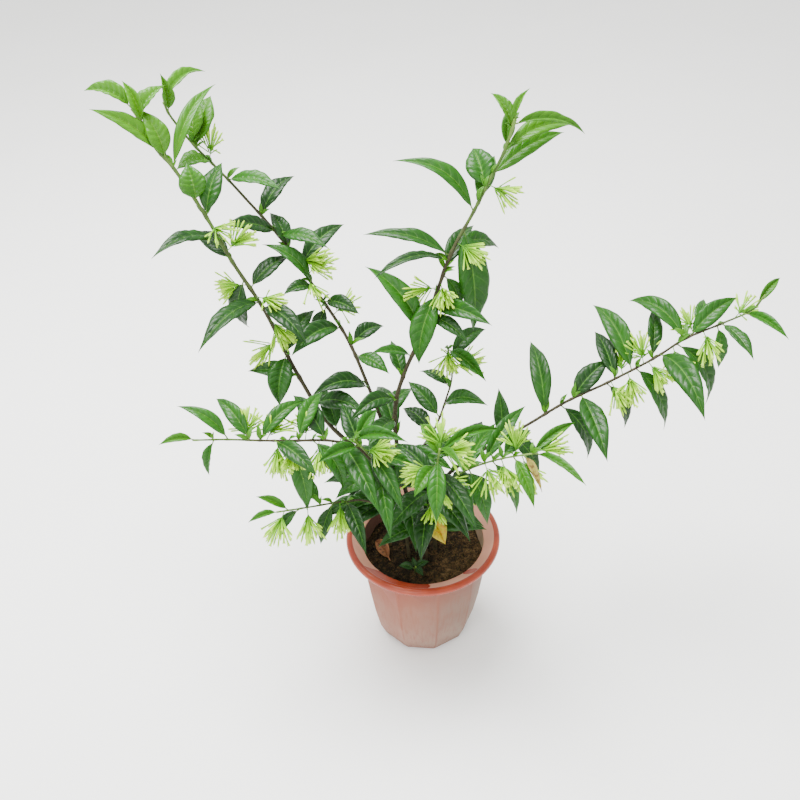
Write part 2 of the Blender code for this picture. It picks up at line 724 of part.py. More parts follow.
def fuse(base, pieces_group):
    """Join every object of a collection to the base with one union, and remove the objects."""
    step = boolean(base, "UNION", pieces_group)
    seen = base.evaluated_get(bpy.context.evaluated_depsgraph_get())
    mesh = bpy.data.meshes.new_from_object(seen)
    base.modifiers.remove(step)
    old = base.data
    base.data = keep_largest(mesh)
    shade_round(base.data)
    bpy.data.meshes.remove(old)
    for piece in list(pieces_group.objects):
        bpy.data.objects.remove(piece, do_unlink=True)
    bpy.data.collections.remove(pieces_group)


def keep_largest(mesh):
    """Drop the loose scraps and the sealed hollows that a union can leave."""
    shape = bmesh.new()
    shape.from_mesh(mesh)
    unseen = set(shape.verts)
    islands = []
    while unseen:
        island, edge = set(), [unseen.pop()]
        while edge:
            vertex = edge.pop()
            island.add(vertex)
            near = {link.other_vert(vertex) for link in vertex.link_edges} & unseen
            unseen -= near
            edge += near
        islands.append(island)
    islands.sort(key=len)
    scraps = [vertex for island in islands[:-1] for vertex in island]
    bmesh.ops.delete(shape, geom=scraps, context="VERTS")
    shape.to_mesh(mesh)
    shape.free()
    return mesh


def lists_of(mesh):
    return [vertex.co.copy() for vertex in mesh.vertices], [tuple(f.vertices) for f in mesh.polygons]


def make_stems(parts, material, space, stems):
    """The leafy stems: first every tube, then the leaves, then one union for each stem."""
    grown = []
    for name, shoots in stems:
        pieces = new_collection(name + "_pieces")
        crown = Space()
        tubes = []
        for shoot in shoots:
            tubes.append(tube(name, *shoot.whole_line(), pieces if tubes else parts))
            space.add(*lists_of(tubes[-1].data), name)
            crown.add(*lists_of(tubes[-1].data))
        tubes[0].name = name
        tubes[0].data.materials.append(material)
        grown.append((name, shoots, tubes[0], pieces, crown))
    for name, shoots, main_tube, pieces, crown in grown:
        for k, shoot in enumerate(shoots):
            rng = random.Random(name + str(k))
            for leaf in shoot.all_leaves(rng):
                habit = leaf_habit(leaf, rng)
                root = shoot.at(leaf[0])[0]
                placed = bend_clear(root, leaf, habit, name, space, crown)
                if placed:
                    blade = blade_mesh(*blade_sections(root, placed, habit))
                    space.add(*blade, name)
                    crown.add(*blade_mesh(*blade_sections(root, placed, habit, 0, OUTER_FROM)))
                    object_of("leaf", mesh_from_lists("leaf", *blade), pieces)
        fuse(main_tube, pieces)


def flower_lists(base, centre, way, length):
    """A slim three-sided tube on a face of the spray's core: it widens, then closes in a point."""
    neck = centre + way * length * FLOWER_TUBE_SHARE
    middle = sum(base, Vector()) / 3
    size = sum((corner - middle).length for corner in base) / 3
    turn = (base[1] - base[0]).cross(base[2] - base[0]).rotation_difference(way)
    mouth = [neck + turn @ (corner - middle) * (FLOWER_MOUTH_RADIUS / size) for corner in base]
    corners = [*base, *mouth, centre + way * length]
    faces = [(0, 2, 1), (3, 4, 6), (4, 5, 6), (5, 3, 6)]
    for i, k in ((0, 1), (1, 2), (2, 0)):
        faces += [(i, k, k + 3), (i, k + 3, i + 3)]
    return corners, faces


def make_sprays(parts, material, space, stems):
    """The flower sprays: each stands just off its stem, and its flowers turn clear."""
    count = 0
    for owner, shoots in stems:
        for k, shoot in enumerate(shoots):
            rng = random.Random(owner + "spray" + str(k))
            for share, heading, pitch, flowers in shoot.sprays:
                spray = spray_shape(shoot, share, heading, pitch, flowers, rng, space)
                if spray:
                    count += 1
                    name = "flower_spray_%02d" % count
                    object_of(name, mesh_from_lists(name, *spray), parts, material)
                    space.add(*spray, name)


def spray_shape(shoot, share, heading, pitch, flowers, rng, space):
    """A small core, its stalk drawn out towards the stem and a flower on each face that is used."""
    centre, along, radius = shoot.at(share)
    for turn, lift in nudges():
        way = direction(heading + 2 * turn, pitch + lift)
        outward = (way - along * way.dot(along)).normalized()
        lean = math.sqrt(max(0.0, 1 - way.dot(outward) ** 2))
        foot = centre + outward * (radius + STALK_RADIUS * lean + GAP)
        corners, faces, middle = spray_core(foot, way)
        if space.is_free(corners, faces):
            break
    else:
        return None
    own = Space()
    order = list(range(1, len(faces)))
    rng.shuffle(order)
    placed = 0
    for pick in order:
        face = faces[pick]
        base = [corners[i] for i in face]
        seat = sum(base, Vector()) / 3
        if placed == flowers or (seat - middle).dot(way) < 0:
            continue
        for attempt in range(FLOWER_TRIES):
            splay = Vector((rng.uniform(-1, 1), rng.uniform(-1, 1), rng.uniform(-1, 1)))
            aim = (seat - middle).normalized() + splay * FLOWER_SPREAD
            aim += way * FLOWER_GATHER - Vector((0, 0, FLOWER_DROOP))
            aim.normalize()
            normal = (base[1] - base[0]).cross(base[2] - base[0]).normalized()
            if aim.dot(normal) < FLOWER_FACING:
                continue
            flower = flower_lists(base, seat, aim, rng.uniform(*FLOWER_LENGTH))
            outer = [corner + aim * FLOWER_CLEARANCE for corner in flower[0][:3]] + flower[0][3:]
            if space.is_free(*flower) and own.is_free(outer, flower[1]):
                own.add(outer, flower[1], "flower")
                start = len(corners) - 3
                corners += flower[0][3:]
                renumber = [*face, *range(start + 3, start + 7)]
                faces[pick] = None
                faces += [tuple(renumber[i] for i in f) for f in flower[1][1:]]
                placed += 1
                break
    if placed < FEWEST_FLOWERS:
        return None
    return corners, [face for face in faces if face]


def spray_core(foot, way):
    """An icosphere drawn out along its way, with one face pulled back to the stem as a stalk."""
    shape = bmesh.new()
    turn = way.to_track_quat("Z", "Y").to_matrix().to_4x4()
    middle = foot + way * STALK_LENGTH
    size = Matrix.Diagonal((CORE_RADIUS, CORE_RADIUS, CORE_LENGTH, 1))
    bmesh.ops.create_icosphere(
        shape, subdivisions=1, radius=1.0, matrix=Matrix.Translation(middle) @ turn @ size,
    )
    shape.faces.ensure_lookup_table()
    back = min(shape.faces, key=lambda face: (face.calc_center_median() - middle).dot(way))
    drawn = bmesh.ops.extrude_discrete_faces(shape, faces=[back])["faces"][0]
    seat = drawn.calc_center_median()
    for vertex in drawn.verts:
        outward = vertex.co - seat
        outward -= way * outward.dot(way)
        vertex.co = foot + outward.normalized() * STALK_RADIUS
    bmesh.ops.triangulate(shape, faces=shape.faces)
    shape.verts.index_update()
    corners = [vertex.co.copy() for vertex in shape.verts]
    faces = [tuple(vertex.index for vertex in face.verts) for face in shape.faces]
    shape.free()
    return corners, faces, middle


def make_yellow_leaf(parts, material, space):
    """A yellowed leaf that still hangs on the front stem, its stalk just off the bark."""
    habit = leaf_habit(YELLOW_LEAF, random.Random("yellow leaf"))
    centre, along, radius = FRONT.at(YELLOW_LEAF[0])
    root = centre + direction(YELLOW_LEAF[1], 0) * (radius + PETIOLE_RADIUS + GAP)
    placed = bend_clear(root, YELLOW_LEAF, habit, "yellow_leaf", space, Space())
    blade = blade_mesh(*blade_sections(root, placed, habit))
    object_of("yellow_leaf", mesh_from_lists("yellow_leaf", *blade), parts, material)
    space.add(*blade, "yellow_leaf")


def make_fallen_leaf(parts, material):
    """A dry leaf that lies on the soil, on its lowest points."""
    habit = leaf_habit(FALLEN_LEAF, random.Random("fallen leaf"))
    root = Vector((*FALLEN_LEAF_BASE, 0)) * MM
    corners, faces = blade_mesh(*blade_sections(root, FALLEN_LEAF, habit))
    lift = SOIL_TOP + GAP - min(corner.z for corner in corners)
    corners = [corner + Vector((0, 0, lift)) for corner in corners]
    object_of("fallen_leaf", mesh_from_lists("fallen_leaf", corners, faces), parts, material)


def main():
    clear_scene()
    parts = new_collection("potted_night_jasmine")
    cutters = new_collection("cutters")
    plastic = new_material("limed_plastic", (0.47, 0.33, 0.28), 0.7)
    earth = new_material("earth", (0.045, 0.032, 0.018), 0.95)
    green = new_material("leaf_green", (0.06, 0.17, 0.035), 0.45)
    bloom = new_material("bloom_green", (0.36, 0.48, 0.12), 0.5)
    yellow = new_material("leaf_yellow", (0.50, 0.42, 0.08), 0.5)
    brown = new_material("leaf_brown", (0.12, 0.06, 0.025), 0.8)

    make_pot(parts, cutters, plastic)
    make_soil(parts, cutters, earth, [shoots[0] for name, shoots in LEAFY_STEMS] + [SEEDLING])
    make_fallen_leaf(parts, brown)

    space = Space()
    make_stems(parts, green, space, (("seedling", (SEEDLING,)),))
    guard = upright_cylinder(
        "guard", (0, 0), GUARD_RADIUS, -POT_HEIGHT, GUARD_TOP, GUARD_SIDES, cutters,
    )
    space.add(*lists_of(guard.data), "pot")
    bpy.data.objects.remove(guard, do_unlink=True)
    make_stems(parts, green, space, LEAFY_STEMS)
    make_yellow_leaf(parts, yellow, space)
    make_sprays(parts, bloom, space, LEAFY_STEMS)


main()
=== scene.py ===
"""Potted night-blooming jasmine: the finished pot, soil, leafy stems, loose leaves and sprays.

Metres, +Z up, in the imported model's frame. The front of the plant faces -Y.
"""

import math
import random
from collections import namedtuple

import bmesh
import bpy
from mathutils import Matrix, Vector, noise
from mathutils.kdtree import KDTree


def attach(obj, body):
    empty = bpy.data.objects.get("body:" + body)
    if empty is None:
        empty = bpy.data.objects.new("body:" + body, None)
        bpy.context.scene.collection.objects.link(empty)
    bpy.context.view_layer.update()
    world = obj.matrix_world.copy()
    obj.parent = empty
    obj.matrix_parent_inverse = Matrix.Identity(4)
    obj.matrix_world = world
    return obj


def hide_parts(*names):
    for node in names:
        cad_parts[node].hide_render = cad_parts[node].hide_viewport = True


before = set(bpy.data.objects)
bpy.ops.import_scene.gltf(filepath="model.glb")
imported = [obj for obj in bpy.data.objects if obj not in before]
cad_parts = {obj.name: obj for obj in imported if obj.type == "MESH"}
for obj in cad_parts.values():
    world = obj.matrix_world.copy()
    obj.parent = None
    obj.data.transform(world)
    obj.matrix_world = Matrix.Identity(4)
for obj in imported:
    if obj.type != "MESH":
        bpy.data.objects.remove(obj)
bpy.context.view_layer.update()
MM = 0.001


# The camera stands in front of the plant and above it, looking down on the pot, as the photograph
# was taken. It is turned a little about its own line of sight.
CAMERA_PLACE = Vector((-0.026, -0.961, 1.171))
CAMERA_PITCH = math.radians(37.9)
CAMERA_ROLL = math.radians(-1.98)
CAMERA_LENS = 43.02
SENSOR_WIDTH = 36


def add_object(name, data):
    """A new object in the scene, at the origin."""
    made = bpy.data.objects.new(name, data)
    bpy.context.scene.collection.objects.link(made)
    return made


lens = bpy.data.cameras.new("camera")
lens.sensor_width = SENSOR_WIDTH
lens.lens = CAMERA_LENS
camera = add_object("camera", lens)
camera.matrix_world = (
    Matrix.Translation(CAMERA_PLACE)
    @ Matrix.Rotation(math.radians(90) - CAMERA_PITCH, 4, "X")
    @ Matrix.Rotation(CAMERA_ROLL, 4, "Z")
)
bpy.context.scene.camera = camera


# The pot is one thin plastic moulding: ten tapering facets on a recessed foot, and a flange that
# rolls over into a round lip. Hard water has left a chalky film on it, which is rubbed off the lip
# and the front of the flange. Its profile is a list of heights and corner radii in millimetres.
BODY_PROFILE = ((5, 68), (25, 75.5), (60, 82.2), (105, 88.5), (166, 95))
BODY_TOP = BODY_PROFILE[-1][0] * MM
BODY_TOP_RADIUS = BODY_PROFILE[-1][1] * MM
POT_HEIGHT = 180 * MM
POT_FACETS = 10
FACET_WEDGE = 2 * math.pi / POT_FACETS
FACET_TURN = math.radians(29)
FACET_EDGE = 2.2 * MM
FACET_EDGE_STEPS = 4
FOOT_RADIUS = 64.5 * MM
FOOT_HEIGHT = BODY_PROFILE[0][0] * MM
FLOOR_THICKNESS = 3 * MM
WALL_THICKNESS = 2.5 * MM
RIM_RADIUS = 110 * MM
RIM_STEPS = 144
LIP_RADIUS = 5.3 * MM
LIP_THICKNESS = 2.4 * MM
LIP_ARC = (115, -75)
LIP_POINTS = 20
LIP_INNER_POINTS = 12
LIP_EDGE_ARC = (-105, -225)
LIP_EDGE_POINTS = 5
FLANGE_INNER_RADIUS = 87 * MM
FLANGE_INNER_HEIGHT = 171 * MM
FLANGE_THICKNESS = 2.4 * MM
COLLAR_RISE = 7 * MM
RIM_SEAT = 1 * MM
RIM_RISE = 0.5 * MM
DRAIN_HOLES = 4
DRAIN_RADIUS = 5 * MM
DRAIN_CIRCLE = 32 * MM
DRAIN_SIDES = 24
WELD = 0.01 * MM
LEVEL = 0.1 * MM

# The pot's look changes softly between two heights, two places across or along it, two distances
# from its axis, or two amounts by which its surface faces away from the axis.
UNDERSIDE_TO_WALL = (4.5 * MM, 5.5 * MM)
FLANGE_TO_LIP = (100.8 * MM, 101.8 * MM)
WALL_TO_LIP = (160 * MM, 166.5 * MM)
WALL_TO_FLANGE = (166.5 * MM, 167.5 * MM)
IN_TO_OUT = (-5 * MM, 5 * MM)
# From left to right the lime film turns greyer, which is its own colour, and darker, which is
# painted shade on the side away from the light.
PINK_TO_SHADED_GREY = (-50 * MM, 60 * MM)
CHALKY_TO_PLAIN = (15 * MM, 90 * MM)
PLAIN_TO_RED = (90 * MM, 165 * MM)
GRIMY_TO_CLEAN = (4 * MM, 30 * MM)
FRONT_TO_BACK = (-75 * MM, -35 * MM)
INNER_RED_TO_LIMED = (0, 65 * MM)
SCAR_PLACE = (63 * MM, -70 * MM)
SCAR_SIZE = (11 * MM, 6 * MM)


def paint(red, green, blue):
    """A colour as a screen shows it, 0 to 255, made linear for a shader."""
    linear = [
        v / 12.92 if v <= 0.04045 else ((v + 0.055) / 1.055) ** 2.4
        for v in (red / 255, green / 255, blue / 255)
    ]
    return (*linear, 1.0)


class Wire:
    """One output of a finish's nodes; an expression on wires adds the nodes that work it out."""

    def __init__(self, finish, socket):
        self.finish = finish
        self.socket = socket

    def __add__(self, other):
        return self.finish.math("ADD", self, other)

    __radd__ = __add__

    def __sub__(self, other):
        return self.finish.math("SUBTRACT", self, other)

    def __rsub__(self, other):
        return self.finish.math("SUBTRACT", other, self)

    def __mul__(self, other):
        return self.finish.math("MULTIPLY", self, other)

    __rmul__ = __mul__

    def __truediv__(self, other):
        return self.finish.math("DIVIDE", self, other)

    def __pow__(self, other):
        return self.finish.math("POWER", self, other)

    def __abs__(self):
        return self.finish.math("ABSOLUTE", self)

    def held(self):
        """The value kept between 0 and 1."""
        return self.finish.math("ADD", self, 0.0, clamp=True)

    def between(self, low, high):
        """0 up to low, 1 from high on, and a soft step between them."""
        settings = {"interpolation_type": "SMOOTHSTEP"}
        sockets = {"Value": self, "From Min": low, "From Max": high}
        return self.finish.node("ShaderNodeMapRange", settings, sockets)["Result"]


class Finish:
    """A procedural material on one Principled shader."""

    def __init__(self, name, **constants):
        self.material = bpy.data.materials.new(name)
        self.material.use_nodes = True
        self.tree = self.material.node_tree
        self.shader = self.tree.nodes["Principled BSDF"]
        self.set(**constants)

    def node(self, kind, settings=None, sockets=None):
        """Any node: its settings are set first, then the values or wires of its sockets."""
        made = self.tree.nodes.new(kind)
        for name, value in (settings or {}).items():
            if name == "stops":
                while len(made.color_ramp.elements) < len(value):
                    made.color_ramp.elements.new(1.0)
                for element, (place, colour) in zip(made.color_ramp.elements, value):
                    element.position = place
                    element.color = colour
            else:
                setattr(made, name, value)
        for name, value in (sockets or {}).items():
            if isinstance(name, str):
                socket = next(s for s in made.inputs if s.enabled and s.name == name)
            else:
                socket = made.inputs[name]
            self.join(value, socket)
        return {socket.name: Wire(self, socket) for socket in made.outputs if socket.enabled}

    def join(self, value, socket):
        if isinstance(value, Wire):
            self.tree.links.new(value.socket, socket)
        else:
            socket.default_value = value

    def set(self, **sockets):
        """Feed the shader's own sockets, such as base_color."""
        for name, value in sockets.items():
            title = name.replace("_", " ").title().replace("Ior", "IOR")
            self.join(value, self.shader.inputs[title])

    def math(self, operation, *values, clamp=False):
        settings = {"operation": operation, "use_clamp": clamp}
        return self.node("ShaderNodeMath", settings, dict(enumerate(values)))["Value"]

    def place(self):
        """The surface's own place, in metres."""
        return self.node("ShaderNodeTexCoord")["Object"]

    def parts(self, vector):
        """A vector's x, y and z."""
        made = self.node("ShaderNodeSeparateXYZ", sockets={"Vector": vector})
        return made["X"], made["Y"], made["Z"]

    def vector(self, x, y, z):
        return self.node("ShaderNodeCombineXYZ", sockets={"X": x, "Y": y, "Z": z})["Vector"]

    def grain(self, vector, scale, detail=3.0, roughness=0.5):
        sockets = {"Vector": vector, "Scale": scale, "Detail": detail, "Roughness": roughness}
        return self.node("ShaderNodeTexNoise", sockets=sockets)["Fac"]

    def value(self, attribute):
        """A number that each of the mesh's vertices carries."""
        return self.node("ShaderNodeAttribute", {"attribute_name": attribute})["Fac"]

    def ramp(self, amount, *stops):
        return self.node("ShaderNodeValToRGB", {"stops": stops}, {"Fac": amount})["Color"]

    def mix(self, amount, first, second):
        sockets = {"Factor": amount, "A": first, "B": second}
        return self.node("ShaderNodeMix", {"data_type": "RGBA"}, sockets)["Result"]

    def raise_by(self, height, distance, strength=1.0):
        """Bump the surface by a height of 0 to 1, which stands for a distance in metres."""
        sockets = {"Height": height, "Distance": distance, "Strength": strength}
        self.set(normal=self.node("ShaderNodeBump", sockets=sockets)["Normal"])


def spun(profile, steps, looped=False, start=FACET_TURN):
    """A profile of (radius, height) pairs turned once round Z, as a bmesh."""
    shape = bmesh.new()
    x, y = math.cos(start), math.sin(start)
    corners = [shape.verts.new((radius * x, radius * y, z)) for radius, z in profile]
    pairs = list(zip(corners, corners[1:]))
    if looped:
        pairs.append((corners[-1], corners[0]))
    edges = [shape.edges.new(pair) for pair in pairs]
    bmesh.ops.spin(
        shape, geom=corners + edges, cent=(0, 0, 0), axis=(0, 0, 1), steps=steps,
        angle=2 * math.pi, use_merge=True, use_duplicate=False,
    )
    bmesh.ops.remove_doubles(shape, verts=shape.verts, dist=WELD)
    bmesh.ops.recalc_face_normals(shape, faces=shape.faces)
    return shape


def new_piece(name, shape, *finishes, sharp=40):
    """Turn a bmesh into an object with its materials, shaded smooth but for its sharp edges."""
    mesh = bpy.data.meshes.new(name)
    shape.to_mesh(mesh)
    shape.free()
    mesh.shade_smooth()
    mesh.set_sharp_from_angle(angle=math.radians(sharp))
    for finish in finishes:
        mesh.materials.append(finish.material)
    return add_object(name, mesh)


def settle(piece, slot, *nodes):
    """The piece belongs to the object and stands for its nodes; the slot is not used."""
    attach(piece, "root")
    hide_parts(*nodes)


def wall_radius(height):
    """The body's corner radius at a height, on the straight line between two bends."""
    spans = list(zip(BODY_PROFILE, BODY_PROFILE[1:]))
    (low, inner), (high, outer) = next((s for s in spans if height <= s[1][0] * MM), spans[-1])
    return (inner + (outer - inner) * (height / MM - low) / (high - low)) * MM


def body_profile(inset, low, high):
    """The body's corner radius at two heights and at each bend between them, from top to bottom."""
    heights = [height * MM for height, radius in reversed(BODY_PROFILE[1:])]
    bends = [height for height in heights if low < height < high]
    return [(wall_radius(height) - inset, height) for height in (high, *bends, low)]


def arc(centre, height, radius, start, end, count):
    turns = [math.radians(start + (end - start) * i / (count - 1)) for i in range(count)]
    return [(centre + radius * math.cos(turn), height + radius * math.sin(turn)) for turn in turns]


def upright_edges(shape):
    """The edges that rise by more than a hair."""
    return [e for e in shape.edges if abs(e.verts[0].co.z - e.verts[1].co.z) > LEVEL]


def facets(profile):
    """The faceted body or its hollow, with rounded upright edges."""
    shape = spun(profile, POT_FACETS)
    bmesh.ops.bevel(
        shape, geom=upright_edges(shape), offset=FACET_EDGE, offset_type="OFFSET",
        segments=FACET_EDGE_STEPS, profile=0.5, affect="EDGES", material=-1,
    )
    return shape


def rim_profile():
    """The flange and its rolled lip in section, with a round edge on the end of the roll."""
    centre = RIM_RADIUS - LIP_RADIUS
    height = POT_HEIGHT - LIP_RADIUS
    start, end = LIP_ARC
    bead = arc(centre, height, LIP_RADIUS - LIP_THICKNESS / 2, end, end, 2)[0]
    seat = (BODY_TOP_RADIUS - WALL_THICKNESS / 2) * math.cos(FACET_WEDGE / 2)
    return [
        *arc(centre, height, LIP_RADIUS, start, end, LIP_POINTS),
        *arc(*bead, LIP_THICKNESS / 2, *LIP_EDGE_ARC, LIP_EDGE_POINTS),
        *arc(centre, height, LIP_RADIUS - LIP_THICKNESS, end, start, LIP_INNER_POINTS),
        (BODY_TOP_RADIUS + RIM_SEAT, BODY_TOP + COLLAR_RISE),
        (BODY_TOP_RADIUS - RIM_SEAT, BODY_TOP - RIM_RISE),
        (seat, BODY_TOP - RIM_RISE),
        (FLANGE_INNER_RADIUS, FLANGE_INNER_HEIGHT - FLANGE_THICKNESS),
        (FLANGE_INNER_RADIUS, FLANGE_INNER_HEIGHT),
    ]


def cut(target, operation, cutter):
    """Apply one Boolean step to the target's mesh, and remove the cutter."""
    step = target.modifiers.new(operation.title(), "BOOLEAN")
    step.operation = operation
    step.object = cutter
    seen = target.evaluated_get(bpy.context.evaluated_depsgraph_get())
    mesh = bpy.data.meshes.new_from_object(seen)
    target.modifiers.remove(step)
    target.data = mesh
    bpy.data.objects.remove(cutter, do_unlink=True)


def plastic_finish():
    """Satin plastic on the lip, and elsewhere a film of lime that is streaked, rubbed and grimy."""
    finish = Finish("limed_plastic", specular_ior_level=0.35)
    whole = finish.place()
    x, y, z = finish.parts(whole)
    radius = (x * x + y * y) ** 0.5
    sockets = {0: finish.node("ShaderNodeNewGeometry")["Normal"], 1: finish.vector(x, y, 0.0)}
    facing = finish.node("ShaderNodeVectorMath", {"operation": "DOT_PRODUCT"}, sockets)["Value"]
    outside = facing.between(*IN_TO_OUT)
    lip = radius.between(*FLANGE_TO_LIP) * z.between(*WALL_TO_LIP)
    flange = z.between(*WALL_TO_FLANGE) * (1 - lip)

    patches = finish.grain(whole, 30.0, detail=3.0)
    streaks = finish.grain(finish.vector(x * 300, y * 300, z * 14), 1.0, detail=4.0)
    broad = finish.grain(finish.vector(x * 22, y * 22, z * 9), 1.0, detail=3.0)
    speckle = finish.grain(whole, 900.0, detail=2.0)

    clean = finish.mix(patches.between(0.35, 0.65), paint(126, 40, 17), paint(142, 54, 27))
    # The right side's greyer film is also darker there: painted shade away from the light.
    right = x.between(*PINK_TO_SHADED_GREY)
    high = (z + (broad - 0.5) * 0.05).between(*PLAIN_TO_RED)
    chalk = (1 - z.between(*CHALKY_TO_PLAIN)) * 0.7
    pink, grey = [
        finish.mix(chalk, finish.mix(high, paint(*plain), paint(*red)), paint(*chalky))
        for plain, red, chalky in (
            ((136, 94, 77), (126, 62, 46), (155, 127, 113)),
            ((113, 95, 83), (108, 72, 59), (146, 129, 116)),
        )
    ]
    lime = finish.mix((right * 0.8 + (broad - 0.5) * 0.6).held(), pink, grey)
    bare = finish.mix(right * 0.6, paint(128, 66, 48), paint(112, 76, 62))
    wall = finish.mix(streaks.between(0.2, 0.6) * 0.45 + 0.55, bare, lime)
    turned = (finish.math("ARCTAN2", y, x) - FACET_TURN) / FACET_WEDGE
    edge = abs(finish.math("FRACT", turned) - 0.5).between(0.455, 0.495)
    wall = finish.mix(edge * patches.between(0.3, 0.6) * 0.55, wall, bare)
    wall = finish.mix((speckle.between(0.5, 0.7) + patches.between(0.45, 0.7)) * 0.22, wall, bare)
    grime = (1 - z.between(*GRIMY_TO_CLEAN)) * speckle.between(0.35, 0.6) * 0.45
    wall = finish.mix(grime, wall, paint(95, 62, 48))

    limed = x + y.between(*FRONT_TO_BACK) * 0.2 + (patches - 0.5) * 0.03
    scar = finish.vector(
        (x - SCAR_PLACE[0]) / SCAR_SIZE[0], (y - SCAR_PLACE[1]) / SCAR_SIZE[1], 0.0,
    )
    scar = finish.node("ShaderNodeVectorMath", {"operation": "LENGTH"}, {0: scar})["Value"]
    worn = limed.between(-1 * MM, 2 * MM) * (scar + (patches - 0.5) * 1.5).between(0.9, 1.1)
    ledge = finish.mix(worn * 0.9, clean, paint(178, 128, 106))
    inside = finish.mix(x.between(*INNER_RED_TO_LIMED), paint(98, 65, 52), paint(144, 122, 98))
    inside = finish.mix(broad.between(0.3, 0.7) * 0.4, inside, paint(61, 45, 33))
    body = finish.mix(flange, finish.mix(outside, inside, wall), ledge)
    body = finish.mix(lip, body, clean)
    underside = 1 - z.between(*UNDERSIDE_TO_WALL)
    finish.set(base_color=finish.mix(underside, body, paint(117, 51, 33)))

    dusty = (1 - lip) * (1 - flange * (1 - worn))
    finish.set(roughness=0.2 + dusty * 0.5 + speckle * 0.08)
    finish.raise_by(streaks * dusty + speckle * 0.35, 0.25 * MM, 0.5)
    return finish


outer = [(0, BODY_TOP), *body_profile(0, FOOT_HEIGHT, BODY_TOP)]
outer += [(FOOT_RADIUS, FOOT_HEIGHT), (FOOT_RADIUS, 0), (0, 0)]
pot = new_piece("pot_shell", facets(outer), plastic_finish(), sharp=30)
cut(pot, "UNION", new_piece("rim", spun(rim_profile(), RIM_STEPS, looped=True)))
hollow = body_profile(WALL_THICKNESS, FLOOR_THICKNESS, BODY_TOP + RIM_RISE)[:-1]
hollow = [(0, BODY_TOP + RIM_RISE), *hollow]
hollow += [(FOOT_RADIUS - WALL_THICKNESS, FLOOR_THICKNESS), (0, FLOOR_THICKNESS)]
cut(pot, "DIFFERENCE", new_piece("hollow", facets(hollow)))
for i in range(DRAIN_HOLES):
    turn = FACET_TURN + 2 * math.pi * (i + 0.5) / DRAIN_HOLES
    place = Matrix.Translation((DRAIN_CIRCLE * math.cos(turn), DRAIN_CIRCLE * math.sin(turn), 0))
    drain = bmesh.new()
    bmesh.ops.create_cone(
        drain, cap_ends=True, segments=DRAIN_SIDES, radius1=DRAIN_RADIUS, radius2=DRAIN_RADIUS,
        depth=3 * FOOT_HEIGHT, matrix=place,
    )
    cut(pot, "DIFFERENCE", new_piece("drain", drain))
settle(pot, "pot_plastic", "pot")


# The soil is dark, crumbly potting mix, heaped a little towards the stems and paler where it has
# dried at the front right. Its surface is one uneven sheet on a plug that fills the pot, with loose
# crumbs strewn on it.
SOIL_TOP = 142 * MM
SOIL_GAP = 0.35 * MM
SOIL_RINGS = 34
SOIL_STEPS = 120
SOIL_ROUGHNESS = 1.9 * MM
SOIL_LUMPS = ((0.11, 0.9), (0.31, 0.6), (0.8, 0.35))
SOIL_MOUND = 3 * MM
MOUND_SPREAD = 35 * MM
MOUND_SINK = 0.4
DAMP_TO_DRY = (5 * MM, 75 * MM)
CRUMBS = 520
CRUMB_SIZE = (0.8 * MM, 2.4 * MM)
CRUMB_MARGIN = 4 * MM
CRUMB_LIFT = 0.25
CRUMB_DENTS = 0.18


def facet_share(turn):
    """How far the ten-sided outline reaches in a direction, as a share of its corners' radius."""
    off = (turn - FACET_TURN) % FACET_WEDGE - FACET_WEDGE / 2
    return math.cos(FACET_WEDGE / 2) / math.cos(off)


def soil_height(x, y):
    """The surface's height: a low mound, with lumps of three sizes on it."""
    spot = Vector((x, y, 0)) / MM
    rough = sum(noise.noise(spot * closeness) * size for closeness, size in SOIL_LUMPS)
    mound = math.exp(-(x * x + y * y) / (2 * MOUND_SPREAD ** 2))
    return SOIL_TOP + SOIL_ROUGHNESS * rough + SOIL_MOUND * (mound - MOUND_SINK)


def any_way(rng):
    """A random vector, at most 1 along each axis."""
    return Vector([rng.uniform(-1, 1) for axis in range(3)])


def soil_finish():
    finish = Finish("potting_soil", specular_ior_level=0.15)
    whole = finish.place()
    x, y = finish.parts(whole)[:2]
    clods = finish.grain(whole, 130.0, detail=4.0, roughness=0.65)
    grit = finish.grain(whole, 520.0, detail=3.0, roughness=0.7)
    dry = (x * 0.75 - y * 0.7).between(*DAMP_TO_DRY)
    tone = (clods * 1.1 + grit * 0.9 - 0.6 + dry * 0.2).held()
    finish.set(base_color=finish.ramp(
        tone, (0.2, paint(16, 12, 6)), (0.42, paint(38, 29, 16)), (0.62, paint(74, 56, 32)),
        (0.88, paint(109, 87, 59)),
    ))
    finish.set(roughness=0.8 + grit * 0.2)
    finish.raise_by(clods + grit * 0.6, 1.4 * MM, 0.9)
    return finish


